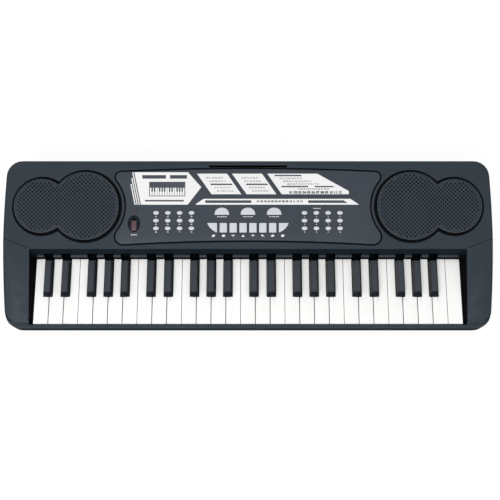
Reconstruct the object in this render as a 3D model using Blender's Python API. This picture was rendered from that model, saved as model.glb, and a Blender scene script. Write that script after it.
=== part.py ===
"""A portable keyboard with 49 keys, piece by piece, in metres.

X runs to the right, Y away from the player and Z up. The origin is on the table,
under the middle of the instrument.
"""

import math

import bmesh
import bpy
from mathutils import Matrix, Vector

# Keys, seen from above
OCTAVES = 4
FIRST_OCTAVE = 2
WHITE_PITCH = 0.022
KEY_GAP = 0.0008
FRONT_CLEARANCE = 0.001
BLACK_OFFSETS = {"cs": -0.002, "ds": 0.002, "fs": -0.003, "gs": 0.0, "as": 0.003}
BLACK_BASE_WIDTH = 0.0126
BLACK_TOP_WIDTH = 0.0102
BLACK_CHAMFER = 0.0010
BLACK_CLEARANCE = 0.0010
BLACK_FRONT_Y = -0.0759
BLACK_SLOPE_RUN = 0.0055
KEYS_LEFT_X = -(7 * OCTAVES + 1) * WHITE_PITCH / 2

# Keys, seen from the side
WHITE_TOP_Z = 0.032
WHITE_DEPTH = 0.014
WHITE_LOW_Z = WHITE_TOP_Z - WHITE_DEPTH
BLACK_TOP_Z = WHITE_TOP_Z + 0.0105
BLACK_BOTTOM_Z = WHITE_LOW_Z + 0.002
KEY_WALL = 0.0016
KEY_ROOF = 0.002
KEY_TRAVEL_DEG = 3.0

# Casing, seen from above
CHEEK_WIDTH = 0.0405
BED_CLEARANCE = 0.0065
BED_HALF = -KEYS_LEFT_X + BED_CLEARANCE
SIDE_HALF = BED_HALF + CHEEK_WIDTH
FRONT_DRAW_IN = 0.0051
REAR_DRAW_IN = 0.0042
FRONT_Y = -0.1235
CREASE_Y = -0.0092
WIDEST_Y = CREASE_Y + 0.0185
FRONT_RADIUS = 0.024
REAR_RADIUS = 0.024
CHEEK_FRONT_RADIUS = 0.020
SIDE_STEPS = 8
CORNER_STEPS = 6

# Casing, seen from the side. The panel rises to the rear, the cheeks fall to the front
FIT = 0.0003
WALL = 0.0025
FLOOR_Z = 0.003
INNER_FLOOR_Z = FLOOR_Z + WALL
PART_LINE_Z = WHITE_TOP_Z - 0.010
LIP_TOP_Z = WHITE_TOP_Z - 0.004
LIP_THICKNESS = 0.0052
LIP_CHAMFER = 0.0014
SHELF_DEPTH = 0.0308
BOTTOM_CHAMFER = 0.003
RIM_ROUNDING = 0.005
RIM_STEPS = 3
CREASE_Z = BLACK_TOP_Z + 0.0135
PANEL_RISE = 0.149
CHEEK_FALL = 0.220
CHEEK_TILT = 0.027
PANEL_TURN = math.atan(PANEL_RISE)

# Rear wall of the key bed, and the ledges beside the keys
BEVEL_RUN = 0.0060
STRIP_RUN = 0.0032
STRIP_DROP = 0.0007
BEVEL_SHARE = 0.85
BEVEL_FOOT_Y = CREASE_Y - BEVEL_RUN
BEVEL_FOOT_Z = BLACK_TOP_Z
BED_REAR_Y = BEVEL_FOOT_Y - STRIP_RUN
BED_STRIP_Z = BEVEL_FOOT_Z - STRIP_DROP
CURTAIN_CLEARANCE = 0.002
CURTAIN_Z = WHITE_TOP_Z + CURTAIN_CLEARANCE
CURTAIN_LAP = 0.0042
WHITE_REAR_Y = BED_REAR_Y + CURTAIN_LAP
BLACK_REAR_Y = BED_REAR_Y - 0.0048
SIDE_LEDGE_WIDTH = 0.003
SIDE_LEDGE_Z = WHITE_TOP_Z + 0.0015
SIDE_LEDGE_THICKNESS = 0.002
NOTCH_SIDE = 0.0009
NOTCH_REAR_Y = BED_REAR_Y + 0.0059
NOTCH_TOP_CLEARANCE = 0.003

# Key hinge and contacts
HINGE_Y = CREASE_Y + 0.031
HINGE_Z = WHITE_TOP_Z - 0.008
RAIL_RADIUS = 0.003
RAIL_CLEARANCE = 0.0005
RAIL_STEPS = 12
RAIL_RIB = 0.002
SADDLE_WALL = 0.002
SADDLE_DROP = 0.002
SADDLE_STEPS = 8
TAIL_WIDTH = 0.008
TAIL_LOW_Z = HINGE_Z - 0.0035
TAIL_OVERLAP = 0.003
CONTACT_Y = -0.0457
PLUNGER_HALF = (0.0025, 0.0015)
PLUNGER_Z = WHITE_LOW_Z + 0.0006
BOARD_HALF_X = -KEYS_LEFT_X - 0.003
BOARD_HALF_Y = 0.017
BOARD_Z = INNER_FLOOR_Z + 0.0045
BOARD_THICKNESS = 0.0016
DOME_HALF = (0.0028, 0.0032)
DOME_CLEARANCE = 0.0004
POST_RADIUS = 0.0025
POSTS_A_SIDE = 3
POST_PITCH = BOARD_HALF_X / (POSTS_A_SIDE + 0.2)

# Control panel, in its own frame: x, then v up the slope, then w out of it
INSERT_THICKNESS = 0.0019
INSERT_PROUD = 0.0008
INSERT_BACKING = 0.0020
INSERT_CLEARANCE = 0.0012
INSERT_BOTTOM_V = 0.0114
INSERT_BOTTOM_END_V = 0.0058
INSERT_TOP_V = 0.1216
INSERT_TOP_END_V = INSERT_TOP_V - 0.0044
INSERT_TOP_RADIUS = 0.009
INSERT_BOTTOM_RADIUS = 0.013
INSERT_CORNER_STEPS = 6
INSERT_SIDE_STEPS = 12
WINDOW_BOTTOM_V = 0.013
WINDOW_TOP_V = 0.066

# Slot for the music rest, and the ledge behind it that ends the casing
SLOT_HALF = 0.0586
SLOT_WIDTH = 0.0033
SLOT_DEPTH = 0.012
SLOT_GAP = 0.0014
SLOT_WALL = 0.0016
SLOT_POCKET_TOP = -0.9 * WALL
REAR_LEDGE = 0.00785
REAR_V = INSERT_TOP_V + SLOT_GAP + SLOT_WIDTH + REAR_LEDGE
REAR_Y = CREASE_Y + REAR_V * math.cos(PANEL_TURN)

# Loudspeaker grilles
POD_INSET = 0.1226
POD_X = SIDE_HALF - POD_INSET
POD_V = 0.0640
POD_SPACING = 0.0646
POD_RADIUS = 0.0509
POD_SMALL_RADIUS = 0.0406
POD_RISE = 0.006
POD_CHAMFER = 0.0008
POD_ROOT = -0.8 * WALL
POD_WALL = 0.0025
GROOVE_WIDTH = 0.0044
GROOVE_DEPTH = 0.0014
GRILLE_BORDER = 0.0018
GRILLE_RECESS = 0.0012
GRILLE_THICKNESS = 0.0025
POD_STEPS = 32
INSERT_SPEAKER_DISTANCE = POD_RADIUS + GROOVE_WIDTH + 0.0047
INSERT_WAIST_X = POD_X - INSERT_SPEAKER_DISTANCE
WINDOW_HALF = INSERT_WAIST_X - 0.0088
SPEAKER_RADIUS = POD_RADIUS - POD_WALL - 0.0019
SPEAKER_DEPTH = 0.030
SPEAKER_FLANGE = 0.003
SPEAKER_STEP = 0.004
SPEAKER_STEPS = 24
MAGNET_RADIUS = 0.025
MAGNET_DEPTH = 0.010
CONE_RADIUS = SPEAKER_RADIUS - 0.0065
CONE_NECK = 0.012
CONE_DEPTH = 0.012

# Buttons
BUTTON_CLEARANCE = 0.0006
BUTTON_PROUD = 0.0015
MAT_THICKNESS = 0.0012
MAT_MARGIN = 0.003
OVAL_SIZE = (0.0093, 0.0063)
OVAL_STEPS = 16
OVAL_COLUMNS = 4
OVAL_COLUMN_PITCH = 0.01765
OVAL_ROWS = 3
OVAL_ROW_PITCH = 0.01165
OVAL_MIDDLE_V = 0.0424
MOON_PITCH = 0.039
MOON_WIDTH = 0.0220
MOON_HEIGHT = 0.0110
MOON_LOW_V = 0.0510
MOON_FULLNESS = 0.8
MOON_STEPS = 10
PAD_LOW_V = 0.0241
PAD_HEIGHT = 0.0150
PAD_PITCH = 0.0147
PAD_GAP = 0.0030
PADS_A_SIDE = 4
PAD_END_WIDTH = 0.0155
PAD_END_FULLNESS = 1.4
PAD_END_STEPS = 5
OVAL_FIRST_X = PADS_A_SIDE * PAD_PITCH + 0.0255

# Power switch
SWITCH_X = 0.0134 - INSERT_WAIST_X
SWITCH_V = 0.0378
DISH_SIZE = (0.0188, 0.0255)
DISH_DEPTH = 0.0010
DISH_STEPS = 20
SWITCH_SLOT = (0.0040, 0.0150)
SWITCH_TRAVEL = 0.006
KNOB_SIZE = (0.0078, 0.0150)
KNOB_RISE = 0.0022
STEM_CLEARANCE = 0.0005

# Battery compartment and its door
POCKET_HALF_X = 0.054
POCKET_LENGTH = 0.052
POCKET_DEPTH = 0.018
POCKET_REAR_Y = REAR_Y - 0.0188
POCKET_FRONT_Y = POCKET_REAR_Y - POCKET_LENGTH
DOOR_LAP = 0.005
DOOR_HALF_X = POCKET_HALF_X + DOOR_LAP
DOOR_FRONT_Y = POCKET_FRONT_Y - DOOR_LAP
DOOR_REAR_Y = REAR_Y - 0.0043
DOOR_THICKNESS = 0.0018

# Sockets at the rear
SOCKET_INSET = 0.066
SOCKET_PITCH = 0.024
SOCKET_X = {"dc": SOCKET_INSET - SIDE_HALF, "phones": SOCKET_INSET + SOCKET_PITCH - SIDE_HALF}
SOCKET_Z = INNER_FLOOR_Z + 0.007
SOCKET_BLOCK = (0.0075, 0.013, 0.0062)
DC_RADIUS = 0.0030
DC_PIN_RADIUS = 0.0010
DC_DEPTH = 0.010
PHONES_RADIUS = 0.0018

# Bosses that the casing screws sit in, and the feet
BOSS_RADIUS = 0.004
BOSS_X = BED_HALF + CHEEK_WIDTH / 2
BOSS_FRONT_Y = FRONT_Y + SHELF_DEPTH + 0.022
BOSS_REAR_Y = REAR_Y - 0.0228
BOSS_INNER_X = POD_X - POD_RADIUS - GROOVE_WIDTH - 0.0021
BOSS_INNER_Y = REAR_Y - 0.0478
BOSS_SLOT_X = SLOT_HALF + 0.0464
BOSS_SLOT_Y = REAR_Y - 0.0128
BOSS_PLACES = (
    (BOSS_X, BOSS_FRONT_Y), (BOSS_X, BOSS_REAR_Y),
    (BOSS_INNER_X, BOSS_INNER_Y), (BOSS_SLOT_X, BOSS_SLOT_Y),
)
FOOT_RADIUS = 0.007
FOOT_STEPS = 12
FOOT_X = SIDE_HALF - 0.036
FOOT_INSET_Y = 0.0228
FOOT_PLACES = (
    (-FOOT_X, FRONT_Y + FOOT_INSET_Y), (0.0, FRONT_Y + FOOT_INSET_Y),
    (FOOT_X, FRONT_Y + FOOT_INSET_Y), (-FOOT_X, REAR_Y - FOOT_INSET_Y),
    (FOOT_X, REAR_Y - FOOT_INSET_Y),
)

CHEEK_FRONT_Y = FRONT_Y + LIP_THICKNESS + 2 * FIT
WHITE_FRONT_Y = FRONT_Y + LIP_THICKNESS + FRONT_CLEARANCE
SHELF_REAR_Y = FRONT_Y + SHELF_DEPTH
HIGH_Z = 2 * CREASE_Z
PAST = 2 * SIDE_HALF
PANEL = Matrix.Translation((0, CREASE_Y, CREASE_Z)) @ Matrix.Rotation(PANEL_TURN, 4, "X")


def clear_scene():
    for obj in list(bpy.data.objects):
        bpy.data.objects.remove(obj, do_unlink=True)


def material(name, colour, roughness, metallic=0.0):
    made = bpy.data.materials.new(name)
    made.use_nodes = True
    shader = made.node_tree.nodes["Principled BSDF"]
    shader.inputs["Base Color"].default_value = (*colour, 1.0)
    shader.inputs["Roughness"].default_value = roughness
    shader.inputs["Metallic"].default_value = metallic
    made.diffuse_color = (*colour, 1.0)
    return made


# Mesh helpers

def loft(rings):
    """A closed solid through rings of equally many points, with a cap on the first and the last."""
    bm = bmesh.new()
    rows = [[bm.verts.new(point) for point in ring] for ring in rings]
    for low, high in zip(rows, rows[1:]):
        for i in range(len(low)):
            j = (i + 1) % len(low)
            bm.faces.new((low[i], low[j], high[j], high[i]))
    bm.faces.new(rows[0][::-1])
    bm.faces.new(rows[-1])
    bmesh.ops.recalc_face_normals(bm, faces=bm.faces)
    return bm


def flat_ring(outline, height):
    return [(x, y, height) for x, y in outline]


def prism(outline, low, high):
    return loft([flat_ring(outline, low), flat_ring(outline, high)])


def block(x0, x1, y0, y1, z0, z1):
    return prism([(x0, y0), (x1, y0), (x1, y1), (x0, y1)], z0, z1)


def side_prism(profile, x0, x1):
    """A profile of (y, z) points, extruded along X."""
    return loft([[(x, y, z) for y, z in profile] for x in (x0, x1)])


def turned(profile, steps):
    """Rings of (radius, height) about Z, capped at both ends."""
    angles = [2 * math.pi * i / steps for i in range(steps)]
    return loft([[(r * math.cos(a), r * math.sin(a), z) for a in angles] for r, z in profile])


def cylinder(x, y, radius, low, high, steps=8):
    bm = turned([(radius, low), (radius, high)], steps)
    bmesh.ops.translate(bm, verts=bm.verts, vec=(x, y, 0))
    return bm


def joined(parts):
    """Several separate solids in one mesh, for one cut or one union."""
    whole = bmesh.new()
    for part in parts:
        mesh = bpy.data.meshes.new("part")
        part.to_mesh(mesh)
        part.free()
        whole.from_mesh(mesh)
        bpy.data.meshes.remove(mesh)
    return whole


def moved(bm, matrix):
    bmesh.ops.transform(bm, matrix=matrix, verts=bm.verts)
    return bm


def new_object(name, bm, finish=None):
    mesh = bpy.data.meshes.new(name)
    bm.to_mesh(mesh)
    bm.free()
    obj = bpy.data.objects.new(name, mesh)
    bpy.context.collection.objects.link(obj)
    if finish:
        mesh.materials.append(finish)
    return obj


def combine(obj, bm, operation):
    """A Boolean with a helper solid, applied to the object's mesh."""
    helper = new_object("helper", bm)
    helper.hide_render = True
    helper.display_type = "WIRE"
    modifier = obj.modifiers.new("combine", "BOOLEAN")
    modifier.operation = operation
    modifier.solver = "EXACT"
    modifier.object = helper
    graph = bpy.context.evaluated_depsgraph_get()
    result = bpy.data.meshes.new_from_object(obj.evaluated_get(graph))
    obj.modifiers.clear()
    before = obj.data
    result.name = before.name
    obj.data = result
    bpy.data.meshes.remove(before)
    bpy.data.objects.remove(helper, do_unlink=True)


def cut(obj, bm):
    combine(obj, bm, "DIFFERENCE")


def add(obj, bm):
    combine(obj, bm, "UNION")


def smooth(obj, degrees=30):
    obj.data.shade_smooth()
    obj.data.set_sharp_from_angle(angle=math.radians(degrees))


# Outlines

def arc(cx, cy, radius, start, end, steps):
    """Points on an arc, angles in degrees, both ends included."""
    turns = [math.radians(start + (end - start) * i / steps) for i in range(steps + 1)]
    return [(cx + radius * math.cos(t), cy + radius * math.sin(t)) for t in turns]


def side_x(y):
    end_y, draw_in = (REAR_Y, REAR_DRAW_IN) if y > WIDEST_Y else (FRONT_Y, FRONT_DRAW_IN)
    return SIDE_HALF - draw_in * ((y - WIDEST_Y) / (end_y - WIDEST_Y)) ** 2


def case_outline(inset, front_y, front_radius):
    """The plan of a shell: bowed sides between round corners, anticlockwise."""
    front, rear = front_y + inset, REAR_Y - inset
    front_r, rear_r = front_radius - inset, REAR_RADIUS - inset
    low, high = front + front_r, rear - rear_r
    right = arc(side_x(low) - inset - front_r, low, front_r, -90, 0, CORNER_STEPS)
    for i in range(1, SIDE_STEPS):
        y = low + (high - low) * i / SIDE_STEPS
        right.append((side_x(y) - inset, y))
    right += arc(side_x(high) - inset - rear_r, high, rear_r, 0, 90, CORNER_STEPS)
    return right + [(-x, y) for x, y in reversed(right)]


def rectangle(cx, cy, width, height, grow=0.0):
    half_w, half_h = width / 2 + grow, height / 2 + grow
    return [(cx - half_w, cy - half_h), (cx + half_w, cy - half_h),
            (cx + half_w, cy + half_h), (cx - half_w, cy + half_h)]


def ellipse(cx, cy, width, height, steps, grow=0.0):
    turns = [2 * math.pi * i / steps for i in range(steps)]
    return [(cx + (width / 2 + grow) * math.cos(t), cy + (height / 2 + grow) * math.sin(t))
            for t in turns]


def double_circle(side, grow):
    """The grille's plan: a large circle that overlaps a small one further out."""
    big, small = POD_RADIUS + grow, POD_SMALL_RADIUS + grow
    along = (POD_SPACING ** 2 + big ** 2 - small ** 2) / (2 * POD_SPACING)
    up = math.sqrt(big ** 2 - along ** 2)
    big_turn = math.degrees(math.atan2(up, along))
    small_turn = math.degrees(math.atan2(up, along - POD_SPACING))
    points = arc(0, 0, big, big_turn, 360 - big_turn, POD_STEPS)
    points += arc(POD_SPACING, 0, small, -small_turn, small_turn, POD_STEPS * 2 // 3)[1:-1]
    points = [(side * (POD_X + x), POD_V + y) for x, y in points]
    return points if side > 0 else points[::-1]


def bowed_edge(x1, v0, v1, steps=4):
    """Half of a bowed edge, from the middle line out to x1."""
    return [(x1 * i / steps, v0 + (v1 - v0) * (i / steps) ** 2) for i in range(steps + 1)]


def insert_lobe(radius, v, grow):
    """Centre of a corner of the insert, which touches the curve round the grille."""
    reach = INSERT_SPEAKER_DISTANCE + radius
    return POD_X - math.sqrt(reach ** 2 - (v - POD_V) ** 2), v, radius + grow


def insert_outline(grow):
    """The control panel's plan: two round corners at each end and a hollow side between."""
    top_x, top_v, top_r = insert_lobe(INSERT_TOP_RADIUS, INSERT_TOP_END_V - INSERT_TOP_RADIUS, grow)
    low_x, low_v, low_r = insert_lobe(
        INSERT_BOTTOM_RADIUS, INSERT_BOTTOM_END_V + INSERT_BOTTOM_RADIUS, grow)
    hollow = INSERT_SPEAKER_DISTANCE - grow
    top_turn = math.degrees(math.atan2(top_v - POD_V, top_x - POD_X))
    low_turn = math.degrees(math.atan2(low_v - POD_V, low_x - POD_X)) % 360
    right = bowed_edge(low_x, INSERT_BOTTOM_V - grow, INSERT_BOTTOM_END_V - grow)[:-1]
    right += arc(low_x, low_v, low_r, -90, low_turn - 180, INSERT_CORNER_STEPS)
    right += arc(POD_X, POD_V, hollow, low_turn, top_turn, INSERT_SIDE_STEPS)[1:-1]
    right += arc(top_x, top_v, top_r, top_turn - 180, 90, INSERT_CORNER_STEPS)
    right += bowed_edge(top_x, INSERT_TOP_V + grow, INSERT_TOP_END_V + grow)[:-1][::-1]
    return right + [(-x, v) for x, v in reversed(right[1:-1])]


def moon_outline(cx, grow):
    """A button with a flat lower edge and a domed upper one."""
    half = MOON_WIDTH / 2 + grow
    low = MOON_LOW_V - grow
    high = MOON_HEIGHT + 2 * grow
    turns = [math.pi * i / MOON_STEPS for i in range(MOON_STEPS + 1)]
    return [(cx + half * math.cos(t), low + high * max(math.sin(t), 0) ** MOON_FULLNESS)
            for t in turns]


def end_pad(grow):
    """The pad at the right end of the row, whose lower outer corner is cut round."""
    inner = (PADS_A_SIDE - 1) * PAD_PITCH + PAD_GAP / 2 - grow
    width, height = PAD_END_WIDTH + 2 * grow, PAD_HEIGHT + 2 * grow
    high = PAD_LOW_V + PAD_HEIGHT + grow
    turns = [math.pi / 2 * i / PAD_END_STEPS for i in range(PAD_END_STEPS + 1)]
    sweep = [(inner + width * math.sin(t) ** PAD_END_FULLNESS,
              high - height * max(math.cos(t), 0) ** PAD_END_FULLNESS) for t in turns]
    return sweep + [(inner, high)]


def pad_outlines(grow):
    """Eight pads in a row, the last at each end with a rounded corner."""
    middle_v = PAD_LOW_V + PAD_HEIGHT / 2
    square = range(1 - PADS_A_SIDE, PADS_A_SIDE - 1)
    outlines = [rectangle((i + 0.5) * PAD_PITCH, middle_v, PAD_PITCH - PAD_GAP, PAD_HEIGHT, grow)
                for i in square]
    right = end_pad(grow)
    return outlines + [right, [(-x, v) for x, v in right[::-1]]]


def oval_places(side):
    return [(side * (OVAL_FIRST_X + column * OVAL_COLUMN_PITCH),
             OVAL_MIDDLE_V + (row - (OVAL_ROWS - 1) / 2) * OVAL_ROW_PITCH)
            for row in range(OVAL_ROWS) for column in range(OVAL_COLUMNS)]


def oval_outlines(side, grow):
    return [ellipse(x, v, *OVAL_SIZE, OVAL_STEPS, grow) for x, v in oval_places(side)]


def centre_outlines(grow):
    moons = [moon_outline(i * MOON_PITCH, grow) for i in (-1, 0, 1)]
    return moons + pad_outlines(grow)


# Surfaces of the casing

def panel_z(y):
    return CREASE_Z + PANEL_RISE * (y - CREASE_Y)


def cheek_z(x, y):
    return CREASE_Z + CHEEK_FALL * (y - CREASE_Y) - CHEEK_TILT * (abs(x) - BED_HALF)


def skin_z(x, y):
    return min(panel_z(y), cheek_z(x, y))


def boss_places():
    return [(side * x, y) for side in (-1, 1) for x, y in BOSS_PLACES]


def slice_top(bm, point, normal):
    """Cuts the solid with a plane, drops what lies above it and closes the cut."""
    geometry = bm.verts[:] + bm.edges[:] + bm.faces[:]
    bmesh.ops.bisect_plane(bm, geom=geometry, dist=1e-6, plane_co=point, plane_no=normal,
                           clear_outer=True)
    bmesh.ops.edgeloop_fill(bm, edges=[e for e in bm.edges if e.is_boundary])


def roofed(outline, low, drop):
    """A block under the panel and the two cheeks, each lowered by drop."""
    bm = prism(outline, low, HIGH_Z)
    slice_top(bm, (0, CREASE_Y, CREASE_Z - drop), (0, -PANEL_RISE, 1))
    for side in (-1, 1):
        slice_top(bm, (side * BED_HALF, CREASE_Y, CREASE_Z - drop),
                  (side * CHEEK_TILT, -CHEEK_FALL, 1))
    bmesh.ops.recalc_face_normals(bm, faces=bm.faces)
    return bm


def round_rim(bm, above):
    """Rounds the edge between the top surfaces and the sides."""
    rim = [e for e in bm.edges if e.calc_face_angle() > math.radians(50)
           and min(v.co.z for v in e.verts) > above]
    bmesh.ops.bevel(bm, geom=rim, offset=RIM_ROUNDING, offset_type="OFFSET",
                    segments=RIM_STEPS, profile=0.5, affect="EDGES")


def bed_profile(offset):
    """The key bed's rear, from the curtain over the keys up the bevel to the crease."""
    return [(BED_REAR_Y + offset, CURTAIN_Z), (BED_REAR_Y + offset, BED_STRIP_Z - offset),
            (BEVEL_FOOT_Y + offset * BEVEL_SHARE, BEVEL_FOOT_Z - offset * BEVEL_SHARE),
            (CREASE_Y + offset, CREASE_Z - 2 * FIT)]


def upper_case(finish):
    base = PART_LINE_Z + FIT / 2
    outer = roofed(case_outline(0, CHEEK_FRONT_Y, CHEEK_FRONT_RADIUS), base, 0)
    round_rim(outer, base + WALL)
    obj = new_object("upper_case", outer, finish)
    cut(obj, roofed(case_outline(WALL, CHEEK_FRONT_Y, CHEEK_FRONT_RADIUS), base - WALL, WALL))

    # Walls at the rear of the key bed and along both cheeks
    inner, outer_line = bed_profile(-WALL / 4), bed_profile(WALL)
    add(obj, side_prism(inner + outer_line[::-1], -BED_HALF - WALL / 2, BED_HALF + WALL / 2))
    wall_top = [(CHEEK_FRONT_Y + WALL / 2, cheek_z(BED_HALF, CHEEK_FRONT_Y) - WALL / 2),
                (CREASE_Y + WALL, CREASE_Z - WALL / 2)]
    wall_side = [(CREASE_Y + WALL, base), (CHEEK_FRONT_Y + WALL / 2, base)]
    for side in (-1, 1):
        edges = sorted((side * (BED_HALF - WALL / 4), side * (BED_HALF + WALL)))
        add(obj, side_prism(wall_top + wall_side, *edges))
    bed = [(FRONT_Y - WALL, 0), (CREASE_Y + WALL, 0), (CREASE_Y + WALL, CURTAIN_Z),
           *bed_profile(0)[:-1], (CREASE_Y, CREASE_Z), (CREASE_Y, HIGH_Z), (FRONT_Y - WALL, HIGH_Z)]
    cut(obj, side_prism(bed, -BED_HALF, BED_HALF))

    # The cheeks stand on the shelf of the lower case
    cut(obj, block(-PAST, PAST, FRONT_Y - WALL, SHELF_REAR_Y, 0, LIP_TOP_Z + FIT))
    for side in (-1, 1):
        edges = sorted((side * (BED_HALF - SIDE_LEDGE_WIDTH), side * (BED_HALF + WALL / 2)))
        add(obj, block(*edges, CHEEK_FRONT_Y + 2 * WALL, BED_REAR_Y - FIT,
                       SIDE_LEDGE_Z - SIDE_LEDGE_THICKNESS, SIDE_LEDGE_Z))
    half = BLACK_BASE_WIDTH / 2 + NOTCH_SIDE
    notches = [block(x - half, x + half, BED_REAR_Y - WALL, NOTCH_REAR_Y, CURTAIN_Z - WALL,
                     BLACK_TOP_Z + NOTCH_TOP_CLEARANCE) for x in black_centres()]
    cut(obj, joined(notches))
    add(obj, joined([cylinder(x, y, BOSS_RADIUS, base, skin_z(x, y) - WALL / 2)
                     for x, y in boss_places()]))
    panel_seat(obj)
    music_slot(obj)
    for side in (-1, 1):
        grille_pod(obj, side)
    smooth(obj)
    return obj


def panel_seat(obj):
    """The recess that the control panel lies in, thickened from below, with a window for buttons."""
    depth = INSERT_THICKNESS - INSERT_PROUD + FIT
    half = insert_lobe(INSERT_TOP_RADIUS, INSERT_TOP_END_V - INSERT_TOP_RADIUS, 0)[0]
    backing = block(-half, half, INSERT_BOTTOM_V, INSERT_TOP_V, -depth - INSERT_BACKING, -WALL / 2)
    add(obj, moved(backing, PANEL))
    cut(obj, moved(prism(insert_outline(INSERT_CLEARANCE), -depth, POD_RISE), PANEL))
    window = block(-WINDOW_HALF, WINDOW_HALF, WINDOW_BOTTOM_V, WINDOW_TOP_V, -3 * WALL, POD_RISE)
    cut(obj, moved(window, PANEL))


def music_slot(obj):
    """A narrow pocket at the rear that a music rest plugs into."""
    low = INSERT_TOP_V + SLOT_GAP
    high = low + SLOT_WIDTH
    pocket = block(-SLOT_HALF - SLOT_WALL, SLOT_HALF + SLOT_WALL, low - SLOT_WALL,
                   high + SLOT_WALL, -SLOT_DEPTH - SLOT_WALL, SLOT_POCKET_TOP)
    add(obj, moved(pocket, PANEL))
    cut(obj, moved(block(-SLOT_HALF, SLOT_HALF, low, high, -SLOT_DEPTH, POD_RISE), PANEL))


def grille_pod(obj, side):
    """A raised double circle in a groove, with a shallow field for the perforated sheet."""
    cut(obj, moved(prism(double_circle(side, GROOVE_WIDTH), -GROOVE_DEPTH, 2 * POD_RISE), PANEL))
    wall, top = double_circle(side, 0), double_circle(side, -POD_CHAMFER)
    pod = loft([flat_ring(wall, POD_ROOT), flat_ring(wall, POD_RISE - POD_CHAMFER),
                flat_ring(top, POD_RISE)])
    add(obj, moved(pod, PANEL))
    field = double_circle(side, -GRILLE_BORDER)
    cut(obj, moved(prism(field, POD_RISE - GRILLE_RECESS, 2 * POD_RISE), PANEL))
    below = double_circle(side, -POD_WALL)
    cut(obj, moved(prism(below, -4 * WALL, POD_RISE - GRILLE_THICKNESS), PANEL))


def lower_case(finish):
    outline = case_outline(0, FRONT_Y, FRONT_RADIUS)
    bottom = case_outline(BOTTOM_CHAMFER, FRONT_Y, FRONT_RADIUS)
    lip = case_outline(LIP_CHAMFER, FRONT_Y, FRONT_RADIUS)
    shell = loft([flat_ring(bottom, FLOOR_Z), flat_ring(outline, FLOOR_Z + BOTTOM_CHAMFER),
                  flat_ring(outline, LIP_TOP_Z - LIP_CHAMFER), flat_ring(lip, LIP_TOP_Z)])
    obj = new_object("lower_case", shell, finish)
    cut(obj, block(-PAST, PAST, SHELF_REAR_Y - FIT, REAR_Y + WALL, PART_LINE_Z - FIT / 2, HIGH_Z))

    # Hollow: everywhere under the shelf, then up through the middle and behind the shelf
    front = FRONT_Y + LIP_THICKNESS - WALL
    plan = case_outline(WALL, front, FRONT_RADIUS)
    cut(obj, prism(plan, INNER_FLOOR_Z, LIP_TOP_Z - WALL))
    cut(obj, block(-BED_HALF, BED_HALF, FRONT_Y + LIP_THICKNESS, SHELF_REAR_Y + WALL,
                   INNER_FLOOR_Z + WALL, HIGH_Z))
    door_recess = FLOOR_Z + DOOR_THICKNESS + FIT
    roof_z = INNER_FLOOR_Z + POCKET_DEPTH

    # The battery pocket is walled off, then opened from below
    add(obj, block(-POCKET_HALF_X - WALL, POCKET_HALF_X + WALL, POCKET_FRONT_Y - WALL,
                   POCKET_REAR_Y + WALL, INNER_FLOOR_Z - WALL / 2, roof_z + WALL))
    add(obj, block(-DOOR_HALF_X - WALL, DOOR_HALF_X + WALL, DOOR_FRONT_Y - WALL,
                   REAR_Y - WALL / 2, INNER_FLOOR_Z - WALL / 2, INNER_FLOOR_Z + WALL / 2))
    cut(obj, block(-DOOR_HALF_X - FIT, DOOR_HALF_X + FIT, DOOR_FRONT_Y - FIT,
                   REAR_Y + WALL, 0, door_recess))
    cut(obj, block(-POCKET_HALF_X, POCKET_HALF_X, POCKET_FRONT_Y, POCKET_REAR_Y, 0, roof_z))

    # Hinge rail on its rib, posts for the contact board, bosses, feet
    rail = [(HINGE_Y + y, HINGE_Z + z) for y, z in arc(0, 0, RAIL_RADIUS, -60, 240, RAIL_STEPS)]
    rib = [(HINGE_Y - RAIL_RIB / 2, INNER_FLOOR_Z - WALL / 2),
           (HINGE_Y + RAIL_RIB / 2, INNER_FLOOR_Z - WALL / 2)]
    add(obj, side_prism(rib + rail, KEYS_LEFT_X, -KEYS_LEFT_X))
    posts = [cylinder(i * POST_PITCH, CONTACT_Y, POST_RADIUS, INNER_FLOOR_Z - WALL / 2,
                      BOARD_Z - FIT) for i in range(-POSTS_A_SIDE, POSTS_A_SIDE + 1)]
    bosses = [cylinder(x, y, BOSS_RADIUS, INNER_FLOOR_Z - WALL / 2, PART_LINE_Z - FIT / 2)
              for x, y in boss_places()]
    feet = [cylinder(x, y, FOOT_RADIUS, 0, FLOOR_Z + WALL / 2, FOOT_STEPS) for x, y in FOOT_PLACES]
    add(obj, joined(posts + bosses + feet))
    sockets(obj)
    smooth(obj)
    return obj


def sockets(obj):
    """The mains adaptor's inlet with its pin, and the headphone socket, behind the rear wall."""
    half_x, depth, half_z = SOCKET_BLOCK
    out = Matrix.Rotation(math.radians(90), 4, "X")
    for x in SOCKET_X.values():
        add(obj, block(x - half_x, x + half_x, REAR_Y - WALL / 2 - depth, REAR_Y - WALL / 2,
                       SOCKET_Z - half_z, SOCKET_Z + half_z))
    bores = (("dc", DC_RADIUS), ("phones", PHONES_RADIUS))
    for name, radius in bores:
        bore = turned([(radius, -WALL), (radius, DC_DEPTH)], RAIL_STEPS)
        cut(obj, moved(bore, Matrix.Translation((SOCKET_X[name], REAR_Y, SOCKET_Z)) @ out))
    pin = turned([(DC_PIN_RADIUS, WALL / 2), (DC_PIN_RADIUS, DC_DEPTH + WALL / 2)], 6)
    add(obj, moved(pin, Matrix.Translation((SOCKET_X["dc"], REAR_Y, SOCKET_Z)) @ out))


def battery_door(finish):
    """A plate in the recess under the batteries. It slides out to the rear."""
    base = FLOOR_Z + FIT / 2
    body = block(-DOOR_HALF_X, DOOR_HALF_X, DOOR_FRONT_Y, DOOR_REAR_Y, base,
                 FLOOR_Z + DOOR_THICKNESS)
    return new_object("battery_door", body, finish)


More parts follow.
